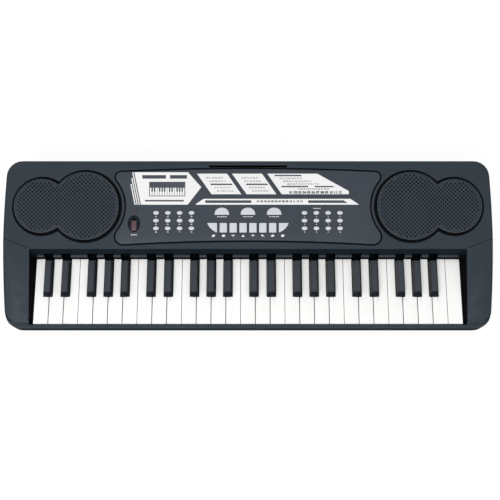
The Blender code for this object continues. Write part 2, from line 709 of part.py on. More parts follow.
def control_panel(finish):
    top, bottom = INSERT_PROUD, INSERT_PROUD - INSERT_THICKNESS
    chamfer = INSERT_PROUD / 2
    body = loft([flat_ring(insert_outline(0), bottom), flat_ring(insert_outline(0), top - chamfer),
                 flat_ring(insert_outline(-chamfer), top)])
    obj = new_object("control_panel", body, finish)
    holes = [outline for side in (-1, 1) for outline in oval_outlines(side, BUTTON_CLEARANCE)]
    holes += centre_outlines(BUTTON_CLEARANCE)
    holes.append(rectangle(SWITCH_X, SWITCH_V, *SWITCH_SLOT))
    cut(obj, joined([prism(outline, -3 * INSERT_THICKNESS, POD_RISE) for outline in holes]))
    dish = ellipse(SWITCH_X, SWITCH_V, *DISH_SIZE, DISH_STEPS)
    cut(obj, prism(dish, top - DISH_DEPTH, POD_RISE))
    obj.matrix_world = PANEL
    smooth(obj)
    return obj


def keypad(name, outlines, finish):
    """A flat mat under the panel with its buttons standing through the holes."""
    mat_top = INSERT_PROUD - INSERT_THICKNESS - FIT
    mat_low = mat_top - MAT_THICKNESS
    xs = [x for outline in outlines for x, v in outline]
    vs = [v for outline in outlines for x, v in outline]
    body = block(min(xs) - MAT_MARGIN, max(xs) + MAT_MARGIN, min(vs) - MAT_MARGIN,
                 max(vs) + MAT_MARGIN, mat_low, mat_top)
    obj = new_object(name, body, finish)
    crown = BUTTON_PROUD + INSERT_PROUD
    add(obj, joined([prism(outline, (mat_low + mat_top) / 2, crown) for outline in outlines]))
    obj.matrix_world = PANEL
    smooth(obj)
    return obj


def power_switch(finish):
    """A slide switch: a knob in the dish, a stem through the slot and a foot under the panel."""
    dish_z = INSERT_PROUD - DISH_DEPTH
    under = INSERT_PROUD - INSERT_THICKNESS - FIT
    start = SWITCH_V - SWITCH_TRAVEL / 2
    width, height = KNOB_SIZE
    stem = SWITCH_SLOT[0] - 2 * STEM_CLEARANCE
    stem_height = SWITCH_SLOT[1] - SWITCH_TRAVEL - 2 * STEM_CLEARANCE
    body = prism(rectangle(SWITCH_X, start, stem, stem_height), under - WALL / 2, dish_z + WALL / 2)
    obj = new_object("power_switch", body, finish)
    add(obj, prism(rectangle(SWITCH_X, start, width, height), dish_z + FIT, dish_z + KNOB_RISE))
    add(obj, prism(rectangle(SWITCH_X, start, width, height), under - WALL, under))
    obj.matrix_world = PANEL
    return obj


def speaker(side, finish):
    """A round driver whose flange lies against the underside of the grille."""
    top = POD_RISE - GRILLE_THICKNESS - FIT
    low = top - SPEAKER_DEPTH
    flange = top - SPEAKER_FLANGE
    profile = [(MAGNET_RADIUS, low), (MAGNET_RADIUS, low + MAGNET_DEPTH),
               (SPEAKER_RADIUS - SPEAKER_STEP, flange), (SPEAKER_RADIUS, flange),
               (SPEAKER_RADIUS, top), (CONE_RADIUS, top), (CONE_NECK, top - CONE_DEPTH)]
    body = turned(profile, SPEAKER_STEPS)
    obj = new_object("speaker_right" if side > 0 else "speaker_left", body, finish)
    obj.matrix_world = PANEL @ Matrix.Translation((side * POD_X, POD_V, 0))
    smooth(obj)
    return obj


def circuit_board(finish):
    """The contact board under the keys, with one rubber contact for each key moulded on."""
    top = BOARD_Z + BOARD_THICKNESS
    sheet = block(-BOARD_HALF_X, BOARD_HALF_X, CONTACT_Y - BOARD_HALF_Y, CONTACT_Y + BOARD_HALF_Y,
                  BOARD_Z, top)
    obj = new_object("circuit_board", sheet, finish)
    reach = HINGE_Y - CONTACT_Y + PLUNGER_HALF[1]
    pressed = PLUNGER_Z - reach * math.sin(math.radians(KEY_TRAVEL_DEG))
    half_x, half_y = DOME_HALF
    domes = [block(x - half_x, x + half_x, CONTACT_Y - half_y, CONTACT_Y + half_y,
                   top - BOARD_THICKNESS / 2, pressed - DOME_CLEARANCE) for x in tail_centres()]
    add(obj, joined(domes))
    return obj


# Keys

def scale():
    """Every key from left to right: (name, colour, left edge of its white key or boundary)."""
    notes = []
    for octave in range(OCTAVES):
        left = KEYS_LEFT_X + octave * 7 * WHITE_PITCH
        for i, note in enumerate("cdefgab"):
            number = octave + FIRST_OCTAVE
            notes.append((f"white_key_{note}{number}", note, left + i * WHITE_PITCH))
            sharp = note + "s"
            if sharp in BLACK_OFFSETS:
                notes.append((f"black_key_{sharp}{number}", sharp, left + (i + 1) * WHITE_PITCH))
    last = KEYS_LEFT_X + OCTAVES * 7 * WHITE_PITCH
    notes.append((f"white_key_c{OCTAVES + FIRST_OCTAVE}", "top_c", last))
    return notes


def black_centres():
    return [x + BLACK_OFFSETS[note] for _, note, x in scale() if note in BLACK_OFFSETS]


def rear_span(note):
    """Left and right edge of a white key between the black ones, from its own left edge."""
    left, right = KEY_GAP / 2, WHITE_PITCH - KEY_GAP / 2
    half = BLACK_BASE_WIDTH / 2 + BLACK_CLEARANCE
    before = {"d": "cs", "e": "ds", "g": "fs", "a": "gs", "b": "as"}.get(note)
    if before:
        left = BLACK_OFFSETS[before] + half
    if note + "s" in BLACK_OFFSETS:
        right = WHITE_PITCH + BLACK_OFFSETS[note + "s"] - half
    return left, right


def tail_x(note):
    """Middle of a key's tail, from its left edge or, on a black key, its boundary."""
    if note in BLACK_OFFSETS:
        return BLACK_OFFSETS[note]
    left, right = rear_span(note)
    return (left + right) / 2 if note != "top_c" else WHITE_PITCH / 2


def tail_centres():
    return [x + tail_x(note) for _, note, x in scale()]


def white_outline(note, inset):
    """The plan of a white key: full width in front, narrowed where a black key stands."""
    left, right = KEY_GAP / 2 + inset, WHITE_PITCH - KEY_GAP / 2 - inset
    rear_left, rear_right = rear_span(note)
    step = BLACK_FRONT_Y - BLACK_CLEARANCE - inset
    front, rear = WHITE_FRONT_Y + inset, WHITE_REAR_Y - inset
    points = [(left, front), (right, front)]
    if rear_right + inset < right:
        points += [(right, step), (rear_right - inset, step)]
    points += [(rear_right - inset, rear), (rear_left + inset, rear)]
    if rear_left - inset > left:
        points += [(rear_left + inset, step), (left, step)]
    return points


def tail(x, width, front_y):
    """The arm behind a key's cap, ending in a saddle over the hinge rail."""
    bore = RAIL_RADIUS + RAIL_CLEARANCE
    reach = bore + SADDLE_WALL
    top = HINGE_Z + reach
    saddle = [(HINGE_Y + y, HINGE_Z + z) for y, z in arc(0, 0, bore, -15, 195, SADDLE_STEPS)]
    foot_z = HINGE_Z - SADDLE_DROP
    profile = [(front_y, TAIL_LOW_Z), (HINGE_Y - reach, TAIL_LOW_Z), (HINGE_Y - reach, foot_z),
               (saddle[-1][0], foot_z), *saddle[::-1], (saddle[0][0], foot_z),
               (HINGE_Y + reach, foot_z), (HINGE_Y + reach, top), (front_y, top)]
    return side_prism(profile, x - width / 2, x + width / 2)


def plunger(x, top):
    half_x, half_y = PLUNGER_HALF
    return block(x - half_x, x + half_x, CONTACT_Y - half_y, CONTACT_Y + half_y, PLUNGER_Z, top)


def white_mesh(note, finish):
    roof = WHITE_TOP_Z - KEY_ROOF
    rings = [(0, WHITE_TOP_Z), (0, WHITE_LOW_Z), (KEY_WALL, WHITE_LOW_Z), (KEY_WALL, roof)]
    obj = new_object("white_" + note, loft([flat_ring(white_outline(note, inset), z)
                                            for inset, z in rings]), finish)
    add(obj, tail(tail_x(note), TAIL_WIDTH, WHITE_REAR_Y - TAIL_OVERLAP))
    add(obj, plunger(tail_x(note), roof + KEY_ROOF / 2))
    return obj


def black_ring(half, front, rear, z):
    return [(-half, front, z), (half, front, z), (half, rear, z), (-half, rear, z)]


def black_mesh(finish):
    """The black key's cap, drawn about its own middle line."""
    base, top = BLACK_BASE_WIDTH / 2, BLACK_TOP_WIDTH / 2
    slope_low = WHITE_TOP_Z + BLACK_CHAMFER
    shoulder = BLACK_TOP_Z - BLACK_CHAMFER
    slope_front = BLACK_FRONT_Y + BLACK_SLOPE_RUN
    rings = [
        black_ring(top - BLACK_CHAMFER, slope_front, BLACK_REAR_Y, BLACK_TOP_Z),
        black_ring(top, slope_front - BLACK_CHAMFER, BLACK_REAR_Y, shoulder),
        black_ring(base, BLACK_FRONT_Y, BLACK_REAR_Y, slope_low),
        black_ring(base, BLACK_FRONT_Y, BLACK_REAR_Y, BLACK_BOTTOM_Z),
        black_ring(base - KEY_WALL, BLACK_FRONT_Y + KEY_WALL, BLACK_REAR_Y - KEY_WALL,
                   BLACK_BOTTOM_Z),
        black_ring(base - KEY_WALL, BLACK_FRONT_Y + KEY_WALL, BLACK_REAR_Y - KEY_WALL, slope_low),
        black_ring(top - KEY_WALL, slope_front + KEY_WALL, BLACK_REAR_Y - KEY_WALL,
                   BLACK_TOP_Z - KEY_ROOF),
    ]
    obj = new_object("black", loft(rings), finish)
    add(obj, tail(0, TAIL_WIDTH, BLACK_REAR_Y - TAIL_OVERLAP))
    add(obj, plunger(0, BLACK_TOP_Z - KEY_ROOF / 2))
    return obj


def keys(white_finish, black_finish):
    """One object for each key, with its origin on the hinge line."""
    axis = Vector((0, HINGE_Y, HINGE_Z))
    patterns = {}
    for note in ("c", "d", "e", "f", "g", "a", "b", "top_c"):
        patterns[note] = white_mesh(note, white_finish)
    black = black_mesh(black_finish)
    for pattern in [*patterns.values(), black]:
        pattern.data.transform(Matrix.Translation(-axis))
    for name, note, x in scale():
        sharp = note in BLACK_OFFSETS
        mesh = black.data if sharp else patterns[note].data
        key = bpy.data.objects.new(name, mesh)
        key.location = axis + Vector((x + BLACK_OFFSETS.get(note, 0), 0, 0))
        bpy.context.collection.objects.link(key)
    for pattern in [*patterns.values(), black]:
        bpy.data.objects.remove(pattern, do_unlink=True)


def main():
    clear_scene()
    bpy.context.scene.unit_settings.scale_length = 1.0
    casing = material("casing_plastic", (0.045, 0.055, 0.070), 0.5)
    insert = material("panel_plastic", (0.065, 0.070, 0.085), 0.5)
    white = material("white_key_plastic", (0.85, 0.85, 0.85), 0.25)
    black = material("black_key_plastic", (0.020, 0.028, 0.040), 0.35)
    silver = material("button_plastic", (0.52, 0.53, 0.58), 0.4)
    red = material("switch_plastic", (0.30, 0.06, 0.06), 0.45)
    board = material("circuit_board", (0.10, 0.22, 0.10), 0.5)
    metal = material("speaker_frame", (0.25, 0.25, 0.26), 0.4, 0.8)

    upper_case(casing)
    lower_case(casing)
    battery_door(casing)
    control_panel(insert)
    keypad("keypad_left", oval_outlines(-1, 0), silver)
    keypad("keypad_centre", centre_outlines(0), silver)
    keypad("keypad_right", oval_outlines(1, 0), silver)
    power_switch(red)
    circuit_board(board)
    speaker(-1, metal)
    speaker(1, metal)
    keys(white, black)


main()
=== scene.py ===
import math
import bpy
from mathutils import Matrix


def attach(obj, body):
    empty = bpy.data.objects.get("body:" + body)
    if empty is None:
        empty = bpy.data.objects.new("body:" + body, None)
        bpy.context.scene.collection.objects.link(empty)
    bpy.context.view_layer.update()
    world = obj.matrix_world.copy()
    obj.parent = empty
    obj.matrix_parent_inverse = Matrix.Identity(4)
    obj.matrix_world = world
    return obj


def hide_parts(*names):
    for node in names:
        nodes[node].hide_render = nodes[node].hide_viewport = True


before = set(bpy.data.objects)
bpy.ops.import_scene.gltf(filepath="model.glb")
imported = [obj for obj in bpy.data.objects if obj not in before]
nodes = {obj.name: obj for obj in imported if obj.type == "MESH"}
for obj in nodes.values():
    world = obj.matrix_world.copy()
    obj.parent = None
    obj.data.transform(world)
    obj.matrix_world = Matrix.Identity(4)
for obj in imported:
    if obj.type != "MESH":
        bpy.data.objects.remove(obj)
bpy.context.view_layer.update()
print("frame loaded,", len(nodes), "nodes")

# the control panel's own frame: x along the keys, v up its slope, and the height over it
slopeLook = {"rise": 0.149, "y": -0.0092, "z": 0.056, "face": 0.0008}
panelFrame = (Matrix.Translation((0, slopeLook["y"], slopeLook["z"]))
              @ Matrix.Rotation(math.atan(slopeLook["rise"]), 4, "X"))
panelFrameBack = panelFrame.inverted()
panelOut = panelFrame.col[2].xyz
panelFace = slopeLook["face"]


# picking things up, and picking faces and edges in code
def letGo():
    if bpy.context.object and bpy.context.object.mode == "EDIT":
        bpy.ops.object.mode_set(mode="OBJECT")
    bpy.ops.object.select_all(action="DESELECT")


def pickUp(*pieces):
    letGo()
    for piece in pieces:
        piece.select_set(True)
    bpy.context.view_layer.objects.active = pieces[0]


def openMesh(kind="FACE", everything=False):
    bpy.ops.object.mode_set(mode="EDIT")
    bpy.ops.mesh.select_mode(type=kind)
    bpy.ops.mesh.select_all(action="SELECT" if everything else "DESELECT")


def closeMesh():
    bpy.ops.object.mode_set(mode="OBJECT")


def pickFaces(piece, test):
    openMesh("FACE")
    closeMesh()
    for face in piece.data.polygons:
        face.select = test(face.center, face.normal)
    bpy.ops.object.mode_set(mode="EDIT")


def pickEdges(piece, test):
    openMesh("EDGE")
    closeMesh()
    points = piece.data.vertices
    for edge in piece.data.edges:
        edge.select = test(points[edge.vertices[0]].co, points[edge.vertices[1]].co)
    bpy.ops.object.mode_set(mode="EDIT")


def roundEdges(piece, offset, steps, test):
    pickEdges(piece, test)
    bpy.ops.mesh.bevel(offset=offset, segments=steps, profile=0.5, affect="EDGES")
    closeMesh()


def softEdges(piece, degrees):
    pickUp(piece)
    bpy.ops.object.shade_smooth_by_angle(angle=math.radians(degrees))


def newest(name):
    piece = bpy.context.object
    piece.name = name
    piece.data.name = name
    return piece


def settled(name, scale=(1, 1, 1)):
    # the new primitive, with its place and size put into its mesh
    piece = newest(name)
    piece.scale = scale
    bpy.ops.object.transform_apply(location=True, rotation=True, scale=True)
    return piece


def scrap(piece):
    bpy.data.objects.remove(piece, do_unlink=True)


def joinAll(name, pieces):
    pickUp(*pieces)
    if len(pieces) > 1:
        bpy.ops.object.join()
    return newest(name)


def copyOf(piece, name, shift=(0, 0, 0)):
    twin = bpy.data.objects.new(name, piece.data.copy())
    bpy.context.scene.collection.objects.link(twin)
    twin.data.transform(Matrix.Translation(shift))
    return twin


def useModifier(piece, kind, **values):
    pickUp(piece)
    modifier = piece.modifiers.new(kind.lower(), kind)
    for key, value in values.items():
        setattr(modifier, key, value)
    bpy.ops.object.modifier_apply(modifier=modifier.name)


def cadCopy(nodeName, pieceName):
    # a merged copy of a CAD node, free to be rounded off
    piece = copyOf(nodes[nodeName], pieceName)
    piece.data.materials.clear()
    pickUp(piece)
    if piece.data.has_custom_normals:
        bpy.ops.mesh.customdata_custom_splitnormals_clear()
    openMesh("VERT", True)
    bpy.ops.mesh.remove_doubles(threshold=2e-6)
    bpy.ops.mesh.dissolve_limited(angle_limit=math.radians(0.4))
    closeMesh()
    return piece


def dress(piece, body, slot, *finishes):
    piece.data.materials.clear()
    for finish in finishes:
        piece.data.materials.append(finish)
    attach(piece, body)


def paintFaces(piece, index, test):
    for face in piece.data.polygons:
        if test(face.center, face.normal):
            face.material_index = index


def plate(name, outline, low, high, rounding=0.0, steps=2):
    # a flat plate from an outline in the panel's frame, built on a circle whose points are moved
    letGo()
    bpy.ops.mesh.primitive_circle_add(vertices=len(outline), radius=0.01, fill_type="NGON")
    piece = newest(name)
    for vertex, (x, v) in zip(piece.data.vertices, outline):
        vertex.co = (x, v, low)
    openMesh("FACE", True)
    bpy.ops.mesh.extrude_region_move(TRANSFORM_OT_translate={"value": (0, 0, high - low)})
    bpy.ops.mesh.select_all(action="SELECT")
    bpy.ops.mesh.normals_make_consistent(inside=False)
    closeMesh()
    if rounding:
        roundEdges(piece, rounding, steps, lambda a, b: min(a.z, b.z) > high - 1e-7)
    return piece


def bar(x0, x1, v0, v1, leanLeft=0.0, leanRight=0.0):
    # the outline of a bar whose ends lean by so much from its lower to its upper edge
    return [(x0, v0), (x1, v0), (x1 + leanRight, v1), (x0 + leanLeft, v1)]


def ontoPanel(piece):
    piece.data.transform(panelFrame)


def fitTrim(piece, body, finishName, degrees=50):
    # trim that only scene.py has, made in the panel's frame
    ontoPanel(piece)
    softEdges(piece, degrees)
    dress(piece, body, None, made[finishName])


# node groups shared by the finishes
def startGroup(name, inputs, outputs):
    group = bpy.data.node_groups.new(name, "ShaderNodeTree")
    for label, kind, value in inputs:
        socket = group.interface.new_socket(label, in_out="INPUT", socket_type="NodeSocket" + kind)
        if value is not None:
            socket.default_value = value
    for label, kind in outputs:
        group.interface.new_socket(label, in_out="OUTPUT", socket_type="NodeSocket" + kind)
    return group, group.nodes.new("NodeGroupInput"), group.nodes.new("NodeGroupOutput")


def feed(tree, value, socket):
    # a number is set, and another node's output is linked
    if isinstance(value, (int, float)):
        socket.default_value = value
    else:
        tree.links.new(value, socket)


def mathNode(tree, operation, first, second, clamp=False):
    node = tree.nodes.new("ShaderNodeMath")
    node.operation = operation
    node.use_clamp = clamp
    feed(tree, first, node.inputs[0])
    feed(tree, second, node.inputs[1])
    return node.outputs[0]


def noiseNode(tree, vector, scale, detail=2.0, roughness=0.5):
    node = tree.nodes.new("ShaderNodeTexNoise")
    node.inputs["Detail"].default_value = detail
    node.inputs["Roughness"].default_value = roughness
    tree.links.new(vector, node.inputs["Vector"])
    feed(tree, scale, node.inputs["Scale"])
    return node.outputs["Fac"]


def rangeNode(tree, value, low, high, outLow=0.0, outHigh=1.0):
    node = tree.nodes.new("ShaderNodeMapRange")
    for label, number in (("From Min", low), ("From Max", high), ("To Min", outLow), ("To Max", outHigh)):
        node.inputs[label].default_value = number
    tree.links.new(value, node.inputs["Value"])
    return node.outputs["Result"]


# fine spark-eroded grain of moulded plastic, as a height
mouldGrain, grainIn, grainOut = startGroup(
    "mouldGrain", [("Vector", "Vector", None), ("Scale", "Float", 2600.0), ("Coarse", "Float", 0.4)],
    [("Height", "Float")])
fineScale = mathNode(mouldGrain, "MULTIPLY", grainIn.outputs["Scale"], 2.7)
grainLow = noiseNode(mouldGrain, grainIn.outputs["Vector"], grainIn.outputs["Scale"], 2.0)
grainHigh = noiseNode(mouldGrain, grainIn.outputs["Vector"], fineScale, 1.0)
grainCoarse = mathNode(mouldGrain, "MULTIPLY", grainLow, grainIn.outputs["Coarse"])
mouldGrain.links.new(mathNode(mouldGrain, "ADD", grainCoarse, grainHigh), grainOut.inputs["Height"])

# soft patches where hands have rubbed the surface, with specks of dust between
handWear, wearIn, wearOut = startGroup(
    "handWear", [("Vector", "Vector", None), ("Patch Scale", "Float", 14.0), ("Speck Scale", "Float", 900.0)],
    [("Patches", "Float"), ("Specks", "Float")])
patchNoise = noiseNode(handWear, wearIn.outputs["Vector"], wearIn.outputs["Patch Scale"], 4.0, 0.6)
handWear.links.new(rangeNode(handWear, patchNoise, 0.38, 0.66), wearOut.inputs["Patches"])
speckNoise = noiseNode(handWear, wearIn.outputs["Vector"], wearIn.outputs["Speck Scale"], 1.0)
handWear.links.new(rangeNode(handWear, speckNoise, 0.69, 0.80), wearOut.inputs["Specks"])

# rounded edges rub lighter than the faces beside them
edgeRub, rubIn, rubOut = startGroup(
    "edgeRub", [("Vector", "Vector", None), ("Amount", "Float", 0.5)], [("Mask", "Float")])
rubGeometry = edgeRub.nodes.new("ShaderNodeNewGeometry")
rubEdge = rangeNode(edgeRub, rubGeometry.outputs["Pointiness"], 0.53, 0.62)
rubBreak = rangeNode(edgeRub, noiseNode(edgeRub, rubIn.outputs["Vector"], 90.0, 4.0, 0.7), 0.35, 0.65)
rubMask = mathNode(edgeRub, "MULTIPLY", rubEdge, rubBreak)
edgeRub.links.new(mathNode(edgeRub, "MULTIPLY", rubMask, rubIn.outputs["Amount"], True),
                  rubOut.inputs["Mask"])


def placeGroup(tree, group, vector, **values):
    node = tree.nodes.new("ShaderNodeGroup")
    node.node_tree = group
    tree.links.new(vector, node.inputs["Vector"])
    for label, value in values.items():
        node.inputs[label.replace("_", " ")].default_value = value
    return node


def mixColour(tree, mask, first, second):
    node = tree.nodes.new("ShaderNodeMix")
    node.data_type = "RGBA"
    tree.links.new(mask, node.inputs["Factor"])
    for label, value in (("A", first), ("B", second)):
        socket = [s for s in node.inputs if s.name == label and s.type == "RGBA"][0]
        if isinstance(value, tuple):
            socket.default_value = (*value, 1.0)
        else:
            tree.links.new(value, socket)
    return [s for s in node.outputs if s.type == "RGBA"][0]


grainDepth = 0.00004


def finish(name, look):
    # a moulded surface: two close colours in patches, specks of dust, rubbed edges, grain in the normal
    material = bpy.data.materials.new(name)
    material.use_nodes = True
    tree = material.node_tree
    shader = tree.nodes["Principled BSDF"]
    place = tree.nodes.new("ShaderNodeTexCoord").outputs["Object"]
    wear = placeGroup(tree, handWear, place, Patch_Scale=look.get("patchScale", 14.0))
    colour = mixColour(tree, wear.outputs["Patches"], *look["colours"])
    specks = mathNode(tree, "MULTIPLY", wear.outputs["Specks"], look.get("dust", 0.08))
    colour = mixColour(tree, specks, colour, look.get("dustColour", (0.32, 0.32, 0.31)))
    if "rub" in look:
        rub = placeGroup(tree, edgeRub, place, Amount=look["rub"])
        colour = mixColour(tree, rub.outputs["Mask"], colour, look["rubColour"])
    tree.links.new(colour, shader.inputs["Base Color"])
    rough = rangeNode(tree, wear.outputs["Patches"], 0.0, 1.0, *look["rough"])
    tree.links.new(rough, shader.inputs["Roughness"])
    grain = placeGroup(tree, mouldGrain, place, Scale=look.get("grainScale", 2600.0))
    bump = tree.nodes.new("ShaderNodeBump")
    bump.inputs["Strength"].default_value = look.get("grain", 0.35)
    bump.inputs["Distance"].default_value = grainDepth
    tree.links.new(grain.outputs["Height"], bump.inputs["Height"])
    tree.links.new(bump.outputs["Normal"], shader.inputs["Normal"])
    shader.inputs["Metallic"].default_value = look.get("metallic", 0.0)
    shader.inputs["Specular IOR Level"].default_value = look.get("specular", 0.5)
    shader.inputs["Coat Weight"].default_value = look.get("coat", 0.0)
    shader.inputs["Coat Roughness"].default_value = look.get("coatRoughness", 0.1)
    return material


# each finish: its two colours and two roughnesses, then what differs from a plain moulding
finishes = {
    "casing": {"colours": ((0.014, 0.024, 0.034), (0.017, 0.027, 0.037)), "rough": (0.56, 0.48),
               "grain": 0.5, "grainScale": 1500.0, "dust": 0.05, "specular": 0.3, "rub": 0.35,
               "rubColour": (0.08, 0.1, 0.12)},
    # painted shade: a darker copy of the casing for its outer roundings and its front wall
    "caseSideShade": {"colours": ((0.012, 0.019, 0.026), (0.014, 0.021, 0.028)), "rough": (0.92, 0.84),
                 "grain": 0.6, "grainScale": 1200.0, "dust": 0.04, "specular": 0.04},
    # painted light: a lighter copy of the casing for its steep rear and side walls
    "caseWallLight": {"colours": ((0.022, 0.034, 0.046), (0.026, 0.038, 0.05)), "rough": (0.74, 0.66),
                 "grain": 0.6, "grainScale": 1200.0, "dust": 0.05, "specular": 0.15},
    # painted highlight: a lighter copy of the casing for the pods' chamfer
    "podRimHighlight": {"colours": ((0.042, 0.05, 0.058), (0.048, 0.056, 0.064)), "rough": (0.44, 0.38),
                "grain": 0.3, "grainScale": 1500.0, "dust": 0.05, "specular": 0.4},
    # painted shade for the bevel behind the key bed, the switch's dish and the seams; also the lamp bezel's
    # own dark colour
    "darkShadeAndBezel": {"colours": ((0.003, 0.009, 0.015), (0.005, 0.011, 0.017)), "rough": (0.62, 0.54),
                "grain": 0.5, "grainScale": 1500.0, "dust": 0.03, "specular": 0.1},
    "panel": {"colours": ((0.032, 0.041, 0.055), (0.036, 0.045, 0.059)), "rough": (0.54, 0.46),
              "grain": 0.3, "grainScale": 2400.0, "dust": 0.05, "specular": 0.3},
    "whiteKey": {"colours": ((0.89, 0.89, 0.88), (0.87, 0.87, 0.855)), "rough": (0.24, 0.32), "grain": 0.12,
                 "grainScale": 500.0, "dust": 0.04, "dustColour": (0.64, 0.63, 0.6), "coat": 0.3,
                 "coatRoughness": 0.08},
    # painted shade: a greyer copy of the white for the keys' sides
    "whiteSideShade": {"colours": ((0.3, 0.3, 0.295), (0.27, 0.27, 0.265)), "rough": (0.4, 0.5), "grain": 0.12,
                  "grainScale": 500.0, "dust": 0.05, "specular": 0.2},
    "blackKey": {"colours": ((0.022, 0.029, 0.039), (0.026, 0.033, 0.043)), "rough": (0.46, 0.38),
                 "grain": 0.25, "grainScale": 1800.0, "dust": 0.06, "rub": 0.5,
                 "rubColour": (0.07, 0.09, 0.11), "specular": 0.35},
    # painted shade: a near black copy of the black key's finish
    "blackKeyShade": {"colours": ((0.006, 0.008, 0.011), (0.008, 0.01, 0.013)), "rough": (0.5, 0.42),
                  "grain": 0.25, "grainScale": 1800.0, "dust": 0.04, "specular": 0.3},
    # painted shade: a darker, matt copy of the black key's finish
    "blackFlankShade": {"colours": ((0.01, 0.013, 0.018), (0.012, 0.015, 0.02)), "rough": (0.8, 0.72),
                   "grain": 0.25, "grainScale": 1800.0, "dust": 0.04, "specular": 0.05},
    "button": {"colours": ((0.59, 0.61, 0.66), (0.56, 0.58, 0.63)), "rough": (0.55, 0.45),
               "grainScale": 3000.0, "dust": 0.12, "patchScale": 60.0, "rub": 0.5,
               "rubColour": (0.62, 0.62, 0.66)},
    "switch": {"colours": ((0.085, 0.036, 0.042), (0.07, 0.03, 0.035)), "rough": (0.45, 0.38), "grain": 0.3,
               "patchScale": 120.0},
    "ink": {"colours": ((0.82, 0.815, 0.82), (0.78, 0.775, 0.78)), "rough": (0.45, 0.38), "grain": 0.25,
            "grainScale": 3500.0, "dust": 0.06, "specular": 0.4},
    "darkInk": {"colours": ((0.044, 0.05, 0.066), (0.05, 0.056, 0.072)), "rough": (0.45, 0.4),
                "grain": 0.25, "grainScale": 3500.0, "specular": 0.4},
    "greyInk": {"colours": ((0.13, 0.127, 0.14), (0.115, 0.112, 0.125)), "rough": (0.45, 0.4),
                "grain": 0.25, "grainScale": 3500.0, "specular": 0.4},
    # painted shade: near black, for hollows, gaps and undersides that lie in shade
    "shadeBlack": {"colours": ((0.003, 0.004, 0.005), (0.005, 0.006, 0.007)), "rough": (0.9, 0.8), "grain": 0.8,
              "grainScale": 1800.0, "specular": 0.03, "dust": 0.02},
    # rubber of the feet and the board's domes; also painted shade on the button mats
    "rubber": {"colours": ((0.018, 0.019, 0.021), (0.025, 0.026, 0.028)), "rough": (0.8, 0.68),
               "grain": 0.6, "grainScale": 1200.0, "dust": 0.15},
    "metal": {"colours": ((0.55, 0.55, 0.57), (0.48, 0.48, 0.5)), "rough": (0.3, 0.42), "grain": 0.2,
              "metallic": 1.0, "patchScale": 200.0},
    "board": {"colours": ((0.035, 0.13, 0.055), (0.045, 0.15, 0.065)), "rough": (0.35, 0.45), "grain": 0.2,
              "coat": 0.3},
    "paper": {"colours": ((0.012, 0.012, 0.013), (0.018, 0.018, 0.019)), "rough": (0.85, 0.75),
              "grain": 0.9, "grainScale": 900.0, "specular": 0.2},
    "basket": {"colours": ((0.03, 0.03, 0.032), (0.045, 0.045, 0.048)), "rough": (0.45, 0.55), "grain": 0.4,
               "metallic": 0.6},
    "lampLens": {"colours": ((0.14, 0.018, 0.024), (0.1, 0.013, 0.018)), "rough": (0.18, 0.26),
                 "grain": 0.1, "coat": 0.5, "patchScale": 300.0},
}
made = {name: finish(name, look) for name, look in finishes.items()}
print("finishes made:", len(made))

# keys: each pattern is rounded once, then copied along the bed
keyLook = {"pitch": 0.022, "round": 0.0007, "roundLow": 0.0319, "roundRear": -0.0183,
           "shadeFront": -0.0192, "shadeRear": -0.0020}
sharpLook = {"round": 0.0009, "roundLow": 0.0328, "foot": 0.0330, "slopeTop": 0.0416, "capLow": 0.0390,
             "flankRear": -0.0260, "shadeFront": -0.0231,
             "offsets": {"cs": -0.002, "ds": 0.002, "fs": -0.003, "gs": 0.0, "as": 0.003}}


def roundKey(piece, look):
    # only the edges of the cap that a finger meets
    roundEdges(piece, look["round"], 3, lambda a, b: (
        min(a.z, b.z) > look["roundLow"] and max(a.y, b.y) < keyLook["roundRear"]))
    softEdges(piece, 40)


def whitePattern(nodeName, pieceName):
    # rounded, with two lines across it for a band of painted shade, black, between them
    pattern = cadCopy(nodeName, pieceName)
    roundKey(pattern, keyLook)
    pickUp(pattern)
    for place in ("shadeFront", "shadeRear"):
        openMesh("FACE", True)
        bpy.ops.mesh.bisect(plane_co=(0, keyLook[place], 0), plane_no=(0, 1, 0))
    closeMesh()
    return pattern


def whiteKey(pattern, nodeName, across):
    # its sides carry painted shade, a greyer white, which keeps the gaps between the keys dark
    key = copyOf(pattern, "whiteKey_" + nodeName[10:], (across, 0, 0))
    dress(key, nodeName, "white_key", made["whiteKey"], made["shadeBlack"], made["whiteSideShade"])
    paintFaces(key, 2, lambda centre, normal: abs(normal.x) > 0.9)
    # painted shade: a black band across the key where the panel's overhang shades it
    paintFaces(key, 1, lambda centre, normal: keyLook["shadeFront"] < centre.y < keyLook["shadeRear"])
    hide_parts(nodeName)


def isKeyShade(centre, normal):
    # painted shade: a black key's left side and foot, and the rounding between its top, its right side and
    # its front, all near black
    rounding = centre.z > sharpLook["capLow"] and (0.15 < normal.x < 0.93 or -0.80 < normal.y < -0.15)
    foot = normal.y < -0.9 or (normal.x > 0.9 and centre.z < sharpLook["foot"])
    return normal.x < -0.9 or foot or rounding


def isKeyFlank(centre, normal):
    # painted shade on its sloping front and the upper part of its right side
    slope = -0.93 < normal.y < -0.55
    side = normal.x > 0.9 and centre.y < sharpLook["flankRear"]
    return sharpLook["foot"] < centre.z < sharpLook["slopeTop"] and (slope or side)


def blackKey(pattern, nodeName, across):
    key = copyOf(pattern, "blackKey_" + nodeName[10:], (across, 0, 0))
    dress(key, nodeName, "black_key", made["blackKey"], made["blackKeyShade"], made["shadeBlack"], made["blackFlankShade"])
    paintFaces(key, 1, isKeyShade)
    paintFaces(key, 3, isKeyFlank)
    # painted shade: the key's rear end, where it runs under the panel, is black
    paintFaces(key, 2, lambda centre, normal: centre.y > sharpLook["shadeFront"])
    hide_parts(nodeName)


